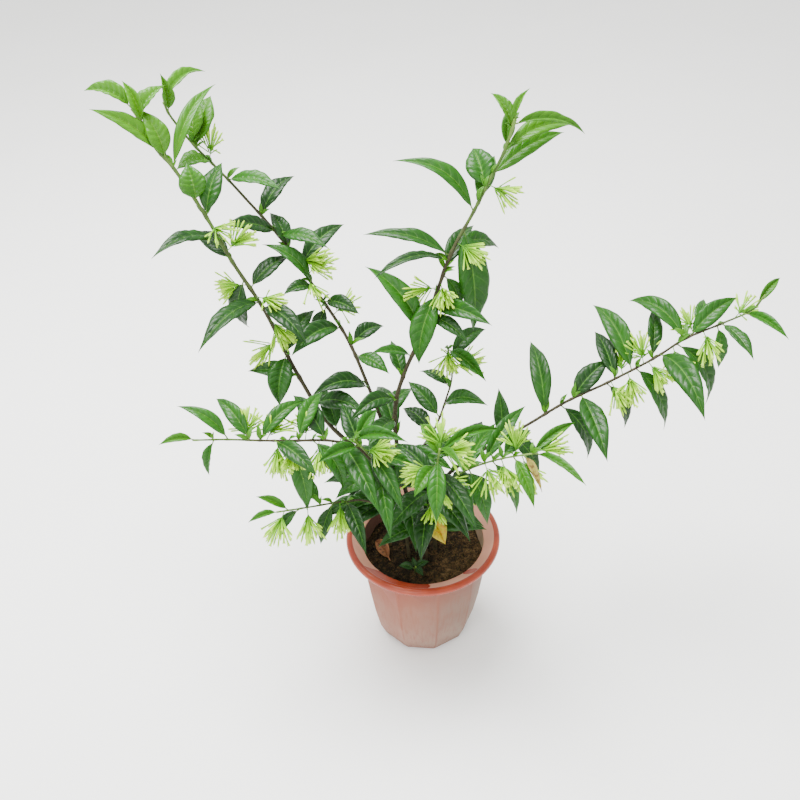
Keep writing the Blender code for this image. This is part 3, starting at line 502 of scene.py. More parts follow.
soil_radius = wall_radius(SOIL_TOP) - WALL_THICKNESS - SOIL_GAP
surface = [(soil_radius * i / SOIL_RINGS, SOIL_TOP) for i in range(SOIL_RINGS + 1)]
plug = body_profile(WALL_THICKNESS + SOIL_GAP, FLOOR_THICKNESS, SOIL_TOP)[1:-1]
plug_foot = FLOOR_THICKNESS + SOIL_GAP
plug += [(FOOT_RADIUS - WALL_THICKNESS - SOIL_GAP, plug_foot), (0, plug_foot)]
soil = spun(surface + plug, SOIL_STEPS, start=0)
for vertex in soil.verts:
    share = facet_share(math.atan2(vertex.co.y, vertex.co.x))
    vertex.co.x *= share
    vertex.co.y *= share
    if vertex.co.z > SOIL_TOP - LEVEL:
        vertex.co.z = soil_height(vertex.co.x, vertex.co.y)
rng = random.Random("crumbs")
for i in range(CRUMBS):
    turn = rng.uniform(0, 2 * math.pi)
    out = (soil_radius - CRUMB_MARGIN) * facet_share(turn) * math.sqrt(rng.random())
    x, y = out * math.cos(turn), out * math.sin(turn)
    size = rng.uniform(*CRUMB_SIZE)
    lie = Matrix.Translation((x, y, soil_height(x, y) + CRUMB_LIFT * size))
    spin = Matrix.Rotation(rng.uniform(0, math.pi), 4, (rng.random(), rng.random(), 1))
    squat = Matrix.Diagonal((1, rng.uniform(0.6, 1.0), rng.uniform(0.5, 0.8), 1))
    crumb = bmesh.ops.create_icosphere(
        soil, subdivisions=1, radius=size, matrix=lie @ spin @ squat,
    )["verts"]
    for vertex in crumb:
        vertex.co += any_way(rng) * CRUMB_DENTS * size
bmesh.ops.recalc_face_normals(soil, faces=soil.faces)
settle(new_piece("soil_bed", soil, soil_finish(), sharp=75), "potting_soil", "soil")


# The bark: each stem is a slender arching rod, grey-brown and ridged low down, green higher up and
# a little thicker at every leaf. Side shoots grow from it. The routes and the leaves' places are
# the solid model's own.
STEM_TIP_RADIUS = 1.1
ROOT_DEPTH = 40
COARSE_STEPS = 2
FINE_STEPS = 9
TAPER = 0.8
LAST_SEAT = 0.97
STEM_SIDES = 10
NODE_SWELLING = 0.32
NODE_LENGTH = 2.6 * MM
SPIRAL = 137.5
LOWEST_SHARE = 0.13
LOWER_LEAF_LENGTH = (70, 105)
LOWER_LEAF_WIDTH = (25, 32)
LOWER_LEAF_PITCH = (-10, 20)
GREENING = 1.3
SIDE_SHOOT_YOUTH = 0.4

Leaf = namedtuple("Leaf", "share heading pitch length width")


class Shoot:
    """A stem or side shoot: a route, and the leaves along it.

    All sizes are given in millimetres, and the route's points are measured from the origin. A leaf
    is its share of the way along the route, its heading (0 along +X, 90 along +Y), the pitch of its
    chord above the horizontal, its length and its width. Woody is the share of the shoot that has
    brown bark, fresh is how young its lower leaves look, bright is how much younger those at its
    tip do, and dry holds the shares of its dried leaves.
    """

    def __init__(
        self, radius, route, leaves, lower_leaves=0, root_depth=ROOT_DEPTH,
        tip_radius=STEM_TIP_RADIUS, woody=0.0, fresh=0.0, bright=0.0, dry=(),
    ):
        self.radius = radius * MM
        self.tip_radius = min(tip_radius * MM, self.radius)
        self.leaves = [Leaf(*leaf) for leaf in leaves]
        self.lower_leaves = lower_leaves
        self.woody = woody
        self.fresh = fresh
        self.bright = bright
        self.dry = dry
        self.bottom = SOIL_TOP - root_depth * MM
        self.points, self.radii = self.smooth(route, COARSE_STEPS)
        self.fine_points, self.fine_radii = self.smooth(route, FINE_STEPS)

    def smooth(self, route, steps):
        """Points on one smooth curve through the route's own points, and the radius at each."""
        own = [Vector(point) * MM for point in route]
        ends = [2 * own[0] - own[1]] + own + [2 * own[-1] - own[-2]]
        points = []
        for before, here, there, after in zip(ends, ends[1:], ends[2:], ends[3:]):
            for k in range(steps):
                t = k / steps
                points.append(0.5 * (
                    2 * here + (there - before) * t
                    + (2 * before - 5 * here + 4 * there - after) * t * t
                    + (3 * here - before - 3 * there + after) * t ** 3
                ))
        points.append(own[-1])
        last = len(points) - 1
        thinner = self.tip_radius - self.radius
        radii = [self.radius + thinner * (i / last) ** TAPER for i in range(last + 1)]
        return points, radii

    def at(self, share):
        """The point and radius at a share of the route's length."""
        spans = [(b - a).length for a, b in zip(self.points, self.points[1:])]
        left = share * sum(spans)
        i = 0
        while left > spans[i] and i < len(spans) - 1:
            left -= spans[i]
            i += 1
        t = min(left / spans[i], LAST_SEAT)
        radius = self.radii[i] + (self.radii[i + 1] - self.radii[i]) * t
        return self.points[i].lerp(self.points[i + 1], t), radius

    def all_leaves(self, rng):
        """The lower leaves, spaced by rule in a spiral, and then the listed ones."""
        first = self.leaves[0].share
        heading = rng.uniform(0, 360)
        lower = []
        for i in range(self.lower_leaves):
            share = LOWEST_SHARE + (first - LOWEST_SHARE) * i / self.lower_leaves
            heading += SPIRAL
            pitch = rng.uniform(*LOWER_LEAF_PITCH)
            length = rng.uniform(*LOWER_LEAF_LENGTH)
            lower.append(Leaf(share, heading, pitch, length, rng.uniform(*LOWER_LEAF_WIDTH)))
        return lower + self.leaves


UPPER_LEFT = Shoot(
    radius=3.4, tip_radius=2.0, lower_leaves=4, woody=0.3, fresh=0.05, bright=1.0,
    route=(
        (-12, 6, 152), (-28, 10, 237), (-68, 30, 293), (-124, 60, 337), (-159, 85, 395),
        (-180, 100, 440), (-203, 120, 491), (-239, 140, 553), (-266, 155, 610), (-300, 175, 667),
        (-321, 185, 692), (-331, 188, 718), (-342, 190, 742),
    ),
    leaves=(
        (0.31, 135, 15, 70, 27), (0.91, 185, 35, 100, 24), (0.38, 335, 5, 80, 28),
        (0.44, 180, 15, 70, 27), (0.49, 240, -65, 70, 35), (0.49, 60, 20, 80, 27),
        (0.59, 315, -15, 90, 28), (0.60, 235, -5, 120, 32), (0.63, 50, 10, 80, 27),
        (0.65, 250, -75, 75, 33), (0.69, 145, 20, 75, 25), (0.73, 225, 10, 105, 27),
        (0.78, 80, 35, 80, 30), (0.81, 85, 35, 50, 36), (0.88, 65, 30, 135, 19),
        (0.90, 120, 40, 65, 30), (0.97, 115, 40, 55, 20), (0.98, 30, 52, 60, 30),
        (1.0, 175, 57, 60, 30),
    ),
)
BACK_LEFT = Shoot(
    radius=3.0, tip_radius=1.5, lower_leaves=4, woody=0.5, fresh=0.05, bright=0.8,
    route=(
        (-18, 27, 152), (-31, 30, 218), (-45, 60, 306), (-77, 100, 399), (-99, 125, 445),
        (-132, 155, 490), (-176, 190, 553), (-224, 215, 607), (-253, 230, 637), (-285, 240, 672),
        (-309, 244, 709), (-315, 243, 729),
    ),
    leaves=(
        (0.26, 55, 10, 80, 27), (0.34, 210, 15, 90, 30), (0.41, 320, -5, 60, 25),
        (0.43, 40, 5, 60, 25), (0.47, 225, 0, 90, 30), (0.52, 185, -60, 55, 23),
        (0.53, 325, 0, 60, 23), (0.56, 215, 10, 50, 22), (0.57, 150, 25, 85, 25),
        (0.61, 50, 15, 95, 28), (0.65, 135, 20, 60, 25), (0.68, 330, 0, 80, 25),
        (0.69, 215, 25, 80, 27), (0.73, 55, 20, 80, 28), (0.82, 335, 0, 80, 28),
        (0.86, 215, 10, 55, 36), (0.90, 75, 35, 80, 38), (0.91, 80, 40, 60, 32),
        (0.98, 165, 60, 50, 20), (1.0, 25, 40, 80, 22),
    ),
)
MIDDLE = Shoot(
    radius=3.4, tip_radius=1.8, lower_leaves=6, woody=0.5, fresh=0.1, bright=0.5,
    route=(
        (2, 16, 152), (-20, 18, 233), (-33, 30, 331), (-32, 45, 381), (-19, 60, 421),
        (9, 85, 475), (38, 115, 545), (52, 125, 575), (74, 140, 609), (96, 150, 650),
        (114, 155, 687), (124, 150, 727),
    ),
    leaves=(
        (0.38, 220, 5, 80, 23), (0.82, 70, 20, 85, 25), (0.76, 300, -80, 145, 42),
        (0.43, 105, 25, 60, 22), (0.48, 200, 20, 60, 20), (0.53, 150, 45, 115, 30),
        (0.57, 315, -10, 70, 20), (0.59, 320, 5, 95, 25), (0.62, 255, -70, 95, 36),
        (0.66, 350, -70, 60, 20), (0.67, 60, 15, 90, 25), (0.69, 210, 5, 110, 20),
        (0.70, 175, 15, 115, 23), (0.71, 25, -15, 80, 26), (0.80, 165, 30, 120, 24),
        (0.85, 95, 35, 65, 38), (0.88, 30, 15, 115, 26), (0.93, 25, 5, 110, 26),
        (0.94, 80, 65, 50, 22), (0.98, 135, 60, 50, 21), (0.99, 15, -15, 100, 20),
        (1.0, 30, 60, 40, 13),
    ),
)
MIDDLE_SIDE = Shoot(
    radius=1.8, lower_leaves=3, woody=0.6, fresh=0.06, bright=0.1,
    route=(
        (-23, 20, 262), (0, 36, 305), (22, 52, 335), (36, 72, 362), (46, 85, 397), (40, 100, 436),
    ),
    leaves=(
        (0.38, 130, 10, 60, 28), (0.50, 125, 15, 75, 25), (0.58, 330, 20, 70, 25),
        (0.71, 145, 10, 50, 18), (0.90, 40, 15, 70, 23), (0.97, 305, -5, 80, 25),
    ),
)
RIGHT = Shoot(
    radius=3.0, lower_leaves=5, woody=0.75, fresh=0.08, bright=0.3,
    route=(
        (18, 4, 152), (14, 10, 225), (30, 20, 264), (68, 30, 294), (109, 35, 320), (148, 40, 343),
        (198, 45, 376), (250, 50, 401), (308, 55, 434), (345, 55, 464), (389, 55, 486),
        (421, 50, 508), (431, 45, 533),
    ),
    leaves=(
        (0.36, 95, 55, 70, 22), (0.38, 335, -50, 70, 25), (0.47, 95, 25, 115, 28),
        (0.51, 330, -60, 90, 28), (0.54, 35, 15, 75, 30), (0.56, 280, -15, 110, 32),
        (0.62, 335, -65, 75, 23), (0.64, 100, 15, 85, 25), (0.68, 110, 20, 115, 30),
        (0.69, 330, -60, 100, 28), (0.73, 80, 30, 80, 22), (0.75, 285, -10, 120, 33),
        (0.79, 335, -60, 100, 32), (0.81, 125, 5, 100, 27), (0.82, 25, 15, 80, 27),
        (0.84, 85, 30, 60, 23), (0.88, 300, -75, 60, 22), (0.89, 290, -10, 70, 22),
        (0.94, 300, 0, 70, 18), (0.97, 40, 25, 50, 15),
    ),
)
RIGHT_SIDE = Shoot(
    radius=1.8, lower_leaves=3, fresh=0.22, bright=0.3, dry=(0.93,),
    route=(
        (16, 9, 228), (30, -14, 275), (48, -34, 322), (72, -50, 352), (103, -65, 376),
        (140, -75, 391),
    ),
    leaves=(
        (0.50, 55, 15, 90, 25), (0.56, 305, -60, 80, 25), (0.68, 50, 20, 100, 22),
        (0.74, 320, -60, 80, 22), (0.80, 45, 10, 60, 22), (0.87, 290, -30, 70, 18),
        (0.93, 285, -10, 60, 12), (0.97, 35, 10, 75, 18), (1.0, 310, 0, 80, 17),
    ),
)
LEFT = Shoot(
    radius=2.5, woody=0.7, fresh=0.12, bright=0.3,
    route=(
        (-21, -10, 152), (-28, -6, 215), (-50, -10, 295), (-79, -20, 358), (-114, -30, 384),
        (-161, -40, 395), (-198, -45, 401), (-242, -50, 409), (-284, -55, 414),
    ),
    leaves=(
        (0.13, 130, 5, 95, 28), (0.28, 45, 10, 80, 28), (0.35, 182, 18, 80, 28),
        (0.43, 320, 17, 88, 30), (0.50, 110, 20, 75, 27), (0.57, 295, -15, 115, 30),
        (0.62, 125, 20, 80, 27), (0.66, 330, -60, 80, 25), (0.70, 75, 15, 80, 23),
        (0.73, 300, -70, 100, 27), (0.77, 315, -10, 80, 23), (0.81, 45, 5, 80, 22),
        (0.84, 130, 20, 75, 22), (0.90, 165, 35, 75, 18), (0.94, 230, -70, 50, 18),
        (0.99, 195, 5, 45, 15),
    ),
)
LEFT_SIDE = Shoot(
    radius=1.6, lower_leaves=1, woody=0.5, fresh=0.12, bright=0.3,
    route=(
        (-27, -7, 208), (-52, -26, 258), (-79, -45, 292), (-110, -57, 302), (-149, -75, 312),
        (-187, -90, 320),
    ),
    leaves=(
        (0.40, 200, 10, 70, 23), (0.58, 290, -20, 80, 23), (0.66, 230, -60, 60, 20),
        (0.74, 125, 15, 60, 19), (0.86, 210, -50, 50, 17), (0.93, 165, 20, 45, 15),
        (0.99, 200, -5, 40, 13),
    ),
)
LEFT_TWIG = Shoot(
    radius=1.6, lower_leaves=1, fresh=0.06, bright=0.1,
    route=(
        (-33, -7, 240), (-46, -26, 300), (-62, -44, 360), (-84, -58, 408),
    ),
    leaves=(
        (0.45, 200, -10, 70, 25), (0.68, 280, -20, 110, 27), (0.78, 285, -35, 90, 23),
        (0.92, 210, 0, 60, 23), (0.97, 60, 15, 55, 23), (1.0, 335, 15, 75, 22),
    ),
)
FRONT = Shoot(
    radius=2.3, fresh=0.04, bright=0.42,
    route=(
        (4, -20, 152), (3, -22, 207), (9, -40, 284), (16, -65, 356), (20, -85, 412),
    ),
    leaves=(
        (0.17, 71, 20, 85, 28), (0.24, 208, 0, 75, 27), (0.26, 346, 5, 85, 28),
        (0.30, 200, 5, 80, 28), (0.36, 340, 0, 80, 28), (0.44, 260, -15, 84, 30),
        (0.52, 305, -10, 85, 25), (0.60, 225, -10, 85, 32), (0.70, 130, 10, 80, 25),
        (0.78, 300, -15, 95, 27), (0.86, 235, -15, 55, 23), (0.91, 265, -40, 80, 25),
        (0.95, 115, 15, 50, 22), (0.97, 20, 5, 85, 18), (1.0, 295, 10, 60, 13),
    ),
)
SEEDLING = Shoot(
    radius=1.0, root_depth=10,
    route=((-13, -43, 144), (-13, -44, 153), (-12, -46, 161)),
    leaves=(
        (0.60, 172, 10, 24, 12), (0.75, 18, 15, 22, 11), (0.88, 300, 5, 21, 10),
        (0.91, 110, 35, 15, 8),
    ),
)

LEAFY_STEMS = (
    ("seedling", (SEEDLING,)),
    ("stem_upper_left", (UPPER_LEFT,)),
    ("stem_back_left", (BACK_LEFT,)),
    ("stem_middle", (MIDDLE, MIDDLE_SIDE)),
    ("stem_right", (RIGHT, RIGHT_SIDE)),
    ("stem_left", (LEFT, LEFT_SIDE, LEFT_TWIG)),
    ("stem_front", (FRONT,)),
)


def empty_shape(*numbers):
    """An empty bmesh whose vertices can carry the named numbers for their finish."""
    shape = bmesh.new()
    for name in numbers:
        shape.verts.layers.float.new(name)
    return shape


def mark(shape, vertices, **numbers):
    """Give all the vertices the same numbers."""
    for name, number in numbers.items():
        layer = shape.verts.layers.float[name]
        for vertex in vertices:
            vertex[layer] = number


def rod_pattern(sides, spans):
    """A capped unit rod along Z, cut across into equal spans, that every rod is a bent copy of."""
    name = f"rod_{sides}_{spans}"
    if name not in bpy.data.meshes:
        shape = bmesh.new()
        bmesh.ops.create_cone(shape, cap_ends=True, segments=sides, radius1=1, radius2=1, depth=1)
        edges = upright_edges(shape)
        bmesh.ops.subdivide_edges(shape, edges=edges, cuts=spans - 1, use_grid_fill=True)
        shape.to_mesh(bpy.data.meshes.new(name))
        shape.free()
    return bpy.data.meshes[name]


def add_copy(shape, pattern):
    """Add a copy of a mesh to a shape, and give its new corners."""
    before = len(shape.verts)
    shape.from_mesh(pattern)
    shape.verts.ensure_lookup_table()
    return shape.verts[before:]


def add_rod(shape, points, radii, sides, youths=()):
    """A round rod bent along a route, ring by ring, and how young its bark is at each ring."""
    spans = len(points) - 1
    made = add_copy(shape, rod_pattern(sides, spans))
    ahead = (points[1] - points[0]).normalized()
    across = ahead.orthogonal().normalized()
    rings = []
    for i in range(spans + 1):
        along = (points[min(i + 1, spans)] - points[max(i - 1, 0)]).normalized()
        across = ahead.rotation_difference(along) @ across
        ahead = along
        rings.append((across.copy(), ahead.cross(across)))
    for vertex in made:
        i = round((vertex.co.z + 0.5) * spans)
        right, up = rings[i]
        vertex.co = points[i] + (right * vertex.co.x + up * vertex.co.y) * radii[i]
        if youths:
            mark(shape, [vertex], youth=youths[i])


def bark_finish():
    """Grey-brown fibrous bark where the shoot is old, and smoother green skin where it is young."""
    finish = Finish("bark", specular_ior_level=0.22)
    whole = finish.place()
    youth = finish.value("youth")
    fibres = finish.grain(whole, 420.0, detail=4.0, roughness=0.7)
    blotches = finish.grain(whole, 90.0, detail=2.0)
    wood = finish.mix(fibres.between(0.35, 0.65), paint(42, 39, 23), paint(64, 58, 38))
    green = finish.mix(blotches.between(0.3, 0.7), paint(59, 84, 31), paint(76, 103, 41))
    fresh = finish.mix(blotches.between(0.3, 0.7), paint(90, 123, 48), paint(108, 137, 62))
    older = finish.mix((youth + (blotches - 0.5) * 0.35).between(0.05, 0.55), wood, green)
    finish.set(base_color=finish.mix(youth.between(0.72, 1.0), older, fresh))
    finish.set(roughness=0.62 - youth * 0.18 + fibres * 0.1)
    finish.raise_by(fibres, 0.35 * MM, 0.7)
    return finish


def grow_bark(shape, shoot, first, seats):
    """One shoot's rod, thicker where its leaves are seated, and sunk in the soil if it is first."""
    points, radii = list(shoot.fine_points), list(shoot.fine_radii)
    if first:
        points.insert(0, Vector((points[0].x, points[0].y, shoot.bottom)))
        radii.insert(0, shoot.radius)
    for i, point in enumerate(points):
        near = min(((point - seat).length for seat in seats), default=1.0)
        radii[i] *= 1 + NODE_SWELLING * math.exp(-(near / NODE_LENGTH) ** 2)
    last = len(points) - 1
    greener = [max(0.0, (i / last - shoot.woody) / (1 - shoot.woody)) for i in range(last + 1)]
    oldest = 0.0 if first or shoot.woody else SIDE_SHOOT_YOUTH
    youths = [oldest + (1 - oldest) * share ** GREENING for share in greener]
    add_rod(shape, points, radii, STEM_SIDES, youths)


# The leaves: thin waxy blades on short stalks, darker and glossier with age, bright and folded at
# the shoots' tips, with small young ones unfolding beside the stalks. The midrib and the side veins
# are sunk in the upper face and stand out below, where the blade is paler.
PETIOLE_LENGTH = 7 * MM
PETIOLE_RADIUS = 0.8 * MM
PETIOLE_MOST = 0.12
BLADE_FOOT = 0.85
LEAF_STALK_RADIUS = 1.05 * MM
STALK_SIDES = 6
OLDEST_STALK = 0.8
MIDRIB_RADIUS = 0.3 * MM
MIDRIB_TAPER = 0.6
MIDRIB_THINS_BY = 0.3
MIDRIB_SINKS_IN = 0.06
MIDRIB_HANG = 0.9
MIDRIB_CLEARANCE = 0.1 * MM
MIDRIB_END = 0.94
MIDRIB_RINGS = 9
LEAF_ROWS = 42
LEAF_COLUMNS = 10
LAST_ROW = 0.998
LEAF_THICKNESS = 0.35 * MM
WIDEST = 0.40
BASE_FULLNESS = 0.86
TIP_FULLNESS = 1.29
WAVE_STATIONS = (0.16, 0.38, 0.62, 0.84)
SMALL_WAVE_STATIONS = (0.20, 0.48, 0.80)
SMALL_LEAF = 45 * MM
BLADE_BOW = 0.14
BOW_SPREAD = (0.6, 1.5)
BLADE_FOLD = 14
FOLD_SPREAD = (0.5, 1.4)
YOUNG_BOW = 0.8
YOUNG_FOLD = 38
YOUNG_FROM = 0.92
YOUNG_LONGEST = 110
EDGE_WAVE = 0.022
ROLL_SPREAD = 16
HALF_CROWN = 0.10
VEIN_PAIRS = 8
VEIN_SLANT = 0.15
VEIN_CURVE = 1.3
VEIN_WIDTH = 0.11
VEIN_FADE = 0.75
MIDRIB_WIDTH = 0.07
QUILTING = 0.12
QUILT_ROUNDNESS = 0.8
QUILT_FROM_MIDRIB = 0.2
QUILT_FROM_EDGE = 1 / 6
RIPPLE = 0.045
RIPPLES = (3.5, 6.5)
LIGHT = Vector((0, -0.7, 0.7))
LIGHT_TURN = 0.6
LIGHT_TURN_MOST = 55
BRIGHT_FROM = 0.74
BRIGHTEST_AT = 0.97
YOUTH_SPREAD = (-0.08, 0.1)
NUDGE = 7
NUDGE_RINGS = 5
STEEPEST = 88
TIP_TOLERANCE = 0.1 * MM
BUD_SHARE = 0.75
BUD_LEAF_WIDTH = 17
BUD_TURNS = (-40, 40)
BUD_SPREAD = 25
BUD_PITCH = (25, 65)
BUD_LENGTH = (10, 24)
BUD_WIDTH = 0.32
BUD_YOUTH = 0.6
BUD_ROWS = 10
BUD_COLUMNS = 4


def direction(heading, pitch):
    """The way that a leaf points, by its heading and pitch in degrees."""
    h, p = math.radians(heading), math.radians(pitch)
    return Vector((math.cos(h) * math.cos(p), math.sin(h) * math.cos(p), math.sin(p)))


def limited(value, low, high):
    return max(low, min(high, value))


def turn_to_light(heading, pitch):
    """How far a leaf rolls about its chord to bring its upper face nearer to the light."""
    up = direction(heading, pitch + 90)
    across = direction(heading, pitch).cross(up)
    wanted = LIGHT_TURN * math.degrees(math.atan2(LIGHT.dot(across), LIGHT.dot(up)))
    return math.radians(limited(wanted, -LIGHT_TURN_MOST, LIGHT_TURN_MOST))


def leaf_habit(leaf, rng):
    """What a leaf's own growth settles: its fold, bow, roll and the wave of its edges."""
    young = leaf.share >= YOUNG_FROM and leaf.length < YOUNG_LONGEST
    return {
        "fold": math.radians(YOUNG_FOLD if young else rng.uniform(*FOLD_SPREAD) * BLADE_FOLD),
        "bow": BLADE_BOW * rng.uniform(*BOW_SPREAD) * (YOUNG_BOW if young else 1.0),
        "roll": math.radians(rng.uniform(-ROLL_SPREAD, ROLL_SPREAD)),
        "waves": [[rng.uniform(-1, 1) for station in WAVE_STATIONS] for side in range(2)],
    }


def nudges():
    """Small turns of heading and pitch, the smallest first."""
    yield 0, 0
    for ring in range(1, NUDGE_RINGS + 1):
        for turn, lift in ((1, 0), (-1, 0), (0, 1), (0, -1), (1, 1), (-1, 1), (1, -1), (-1, -1)):
            yield ring * NUDGE * turn, ring * NUDGE * lift


def corners_of(node):
    """A node's corners, for finding which of them lies at a place."""
    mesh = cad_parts[node].data
    tree = KDTree(len(mesh.vertices))
    for i, vertex in enumerate(mesh.vertices):
        tree.insert(vertex.co, i)
    tree.balance()
    return tree


def as_held(root, leaf, corners):
    """The leaf turned as the solid model holds it, with its tip at a corner there, or None."""
    for turn, lift in nudges():
        pitch = limited(leaf.pitch + lift, -STEEPEST, STEEPEST)
        held = leaf._replace(heading=leaf.heading + turn, pitch=pitch)
        tip = root + direction(held.heading, held.pitch) * held.length * MM
        if corners.find(tip)[2] < TIP_TOLERANCE:
            return held
    return None


class Blade:
    """One leaf: where it grows, and the curved face that its midrib, fold and waves give it.

    Its shares run from the stalk's foot at 0 to the tip at 1.
    """

    def __init__(self, root, leaf, habit, rng):
        self.root = root
        self.length = leaf.length * MM
        self.half = leaf.width * MM / 2
        self.habit = habit
        self.chord = direction(leaf.heading, leaf.pitch)
        self.arch = direction(leaf.heading, leaf.pitch + 90)
        roll = habit["roll"] + turn_to_light(leaf.heading, leaf.pitch)
        turn = Matrix.Rotation(roll, 3, self.chord)
        self.up = turn @ self.arch
        self.side = turn @ self.chord.cross(self.arch)
        self.petiole = min(PETIOLE_LENGTH / self.length, PETIOLE_MOST)
        self.stations = SMALL_WAVE_STATIONS if self.length < SMALL_LEAF else WAVE_STATIONS
        self.ripple = [(rng.uniform(*RIPPLES), rng.uniform(0, 2 * math.pi)) for side in range(2)]

    def middle(self, share):
        """A point of the bowed line under the middle of the blade."""
        lift = 4 * self.habit["bow"] * share * (1 - share)
        return self.root + self.chord * (share * self.length) + self.arch * (lift * self.length)

    def normal(self, share):
        slope = 4 * self.habit["bow"] * (1 - 2 * share) * self.arch.dot(self.up)
        return (self.up - self.chord * slope).normalized()

    def wave(self, share, side):
        """The wave of one edge, eased from station to station and level at both ends."""
        knots = [(0.0, 0.0), *zip(self.stations, self.habit["waves"][side]), (1.0, 0.0)]
        for (a, low), (b, high) in zip(knots, knots[1:]):
            if share <= b:
                t = (share - a) / (b - a)
                return low + (high - low) * t * t * (3 - 2 * t)
        return 0.0

    def face(self, across, along):
        """A point of the upper face: across runs from -1 to 1, along from the stalk to the tip."""
        foot = self.petiole * BLADE_FOOT
        share = foot + (1 - foot) * along
        fullness = (along / WIDEST) ** BASE_FULLNESS * ((1 - along) / (1 - WIDEST)) ** TIP_FULLNESS
        half = max(self.half * fullness, PETIOLE_RADIUS * (1 - along))
        out = abs(across)
        side = 0 if across > 0 else 1
        fold = self.habit["fold"]
        rise = half * (math.sin(fold) * out + HALF_CROWN * 4 * out * (1 - out))
        rise += self.wave(share, side) * EDGE_WAVE * self.length * out * out
        turns, start = self.ripple[side]
        rise += RIPPLE * half * math.sin(2 * math.pi * turns * along + start) * out ** 3
        phase = VEIN_PAIRS * (along - VEIN_SLANT * out ** VEIN_CURVE)
        soft = min(1.0, out / QUILT_FROM_MIDRIB) * min(1.0, (1 - out) / QUILT_FROM_EDGE)
        quilt = abs(math.sin(math.pi * phase)) ** QUILT_ROUNDNESS
        rise += QUILTING * self.half * quilt * soft * fullness
        lean = half * math.cos(fold) * across
        return self.middle(share) + self.side * lean + self.normal(share) * rise


def add_blade(shape, blade, columns=LEAF_COLUMNS, rows=LEAF_ROWS, **numbers):
    """One sheet of the leaf's upper face, cut fine enough to show its veins."""
    across_and_along = shape.loops.layers.uv.verify()
    made = bmesh.ops.create_grid(
        shape, x_segments=columns, y_segments=rows, size=0.5, calc_uvs=False,
    )["verts"]
    for face in {face for vertex in made for face in vertex.link_faces}:
        for loop in face.loops:
            loop[across_and_along].uv = loop.vert.co.xy + Vector((0.5, 0.5))
    for vertex in made:
        vertex.co = blade.face(2 * vertex.co.x, min(vertex.co.y + 0.5, LAST_ROW))
    mark(shape, made, **numbers)


def add_stalk(shape, blade, youths=()):
    """The leaf's stalk, which runs on under the blade as its raised midrib."""
    points, radii = [], []
    for i in range(MIDRIB_RINGS):
        t = i / (MIDRIB_RINGS - 1)
        share = MIDRIB_END * t
        under = limited((share - blade.petiole) / MIDRIB_SINKS_IN, 0.0, 1.0)
        thinned = min(share / MIDRIB_THINS_BY, 1.0)
        midrib = MIDRIB_RADIUS * (1 - MIDRIB_TAPER * t)
        radius = LEAF_STALK_RADIUS + (midrib - LEAF_STALK_RADIUS) * thinned
        drop = (radius * MIDRIB_HANG + MIDRIB_CLEARANCE) * under
        points.append(blade.middle(share) - blade.normal(share) * drop)
        radii.append(radius)
    add_rod(shape, points, radii, STALK_SIDES, youths)


def add_buds(shape, root, heading, rng):
    """Two tiny leaves unfolding in the angle above a leaf's stalk."""
    for turn in BUD_TURNS:
        length = rng.uniform(*BUD_LENGTH)
        pitch = rng.uniform(*BUD_PITCH)
        turned = heading + turn + rng.uniform(-BUD_SPREAD, BUD_SPREAD)
        leaf = Leaf(0.0, turned, pitch, length, length * BUD_WIDTH)
        blade = Blade(root, leaf, leaf_habit(leaf, rng), rng)
        tint = rng.uniform(-1, 1)
        add_blade(shape, blade, BUD_COLUMNS, BUD_ROWS, youth=BUD_YOUTH, tint=tint, dry=0.0)


def vein_pattern(finish):
    """How far out on the blade a point is, and where the side veins and the midrib lie."""
    across, along = finish.parts(finish.node("ShaderNodeTexCoord")["UV"])[:2]
    out = abs(across * 2 - 1)
    phase = VEIN_PAIRS * (along - VEIN_SLANT * out ** VEIN_CURVE)
    nearest = abs(finish.math("FRACT", phase + 0.5) - 0.5)
    vein = (1 - nearest / VEIN_WIDTH).held() * (1 - out * VEIN_FADE).held()
    return out, vein, (1 - out / MIDRIB_WIDTH).held()


def leaf_finish(name, upper):
    """The waxy face of a leaf; the lower one is paler and its veins stand out."""
    finish = Finish(name, specular_ior_level=0.25 if upper else 0.15)
    out, vein, midrib = vein_pattern(finish)
    youth, tint, dry = finish.value("youth"), finish.value("tint"), finish.value("dry")
    whole = finish.place()
    cloud = finish.grain(whole, 60.0, detail=3.0)
    net = finish.grain(whole, 320.0, detail=3.0)
    # The cloud's lighter and darker blotches are partly the leaf's own uneven green and partly
    # painted highlight and shade of its puckered face.
    tone = (youth + tint * 0.11 + (cloud - 0.5) * 0.3).held()
    if upper:
        green = finish.ramp(
            tone, (0.0, paint(10, 46, 4)), (0.3, paint(32, 86, 8)), (0.65, paint(58, 111, 4)),
            (1.0, paint(62, 117, 4)),
        )
        pale = finish.mix(youth, paint(84, 134, 50), paint(112, 154, 44))
        colour = finish.mix((midrib * 0.7 + vein * 0.2).held(), green, pale)
    else:
        green = finish.ramp(
            tone, (0.0, paint(44, 98, 26)), (0.5, paint(66, 116, 20)), (1.0, paint(84, 136, 16)),
        )
        colour = finish.mix((midrib * 0.6 + vein * 0.35).held(), green, paint(110, 146, 66))
    spots = finish.grain(whole, 160.0, detail=3.0)
    scorched = finish.mix(spots.between(0.4, 0.65), paint(128, 118, 52), paint(92, 72, 34))
    finish.set(base_color=finish.mix((dry * (0.6 + spots)).held(), colour, scorched))
    finish.set(roughness=(0.26 if upper else 0.50) + cloud * 0.2 + dry * 0.25)
    relief = 1 - vein * 0.8 - midrib if upper else vein * 0.8 + midrib
    finish.raise_by(relief + net * 0.5, 0.7 * MM, 0.6)
    return finish


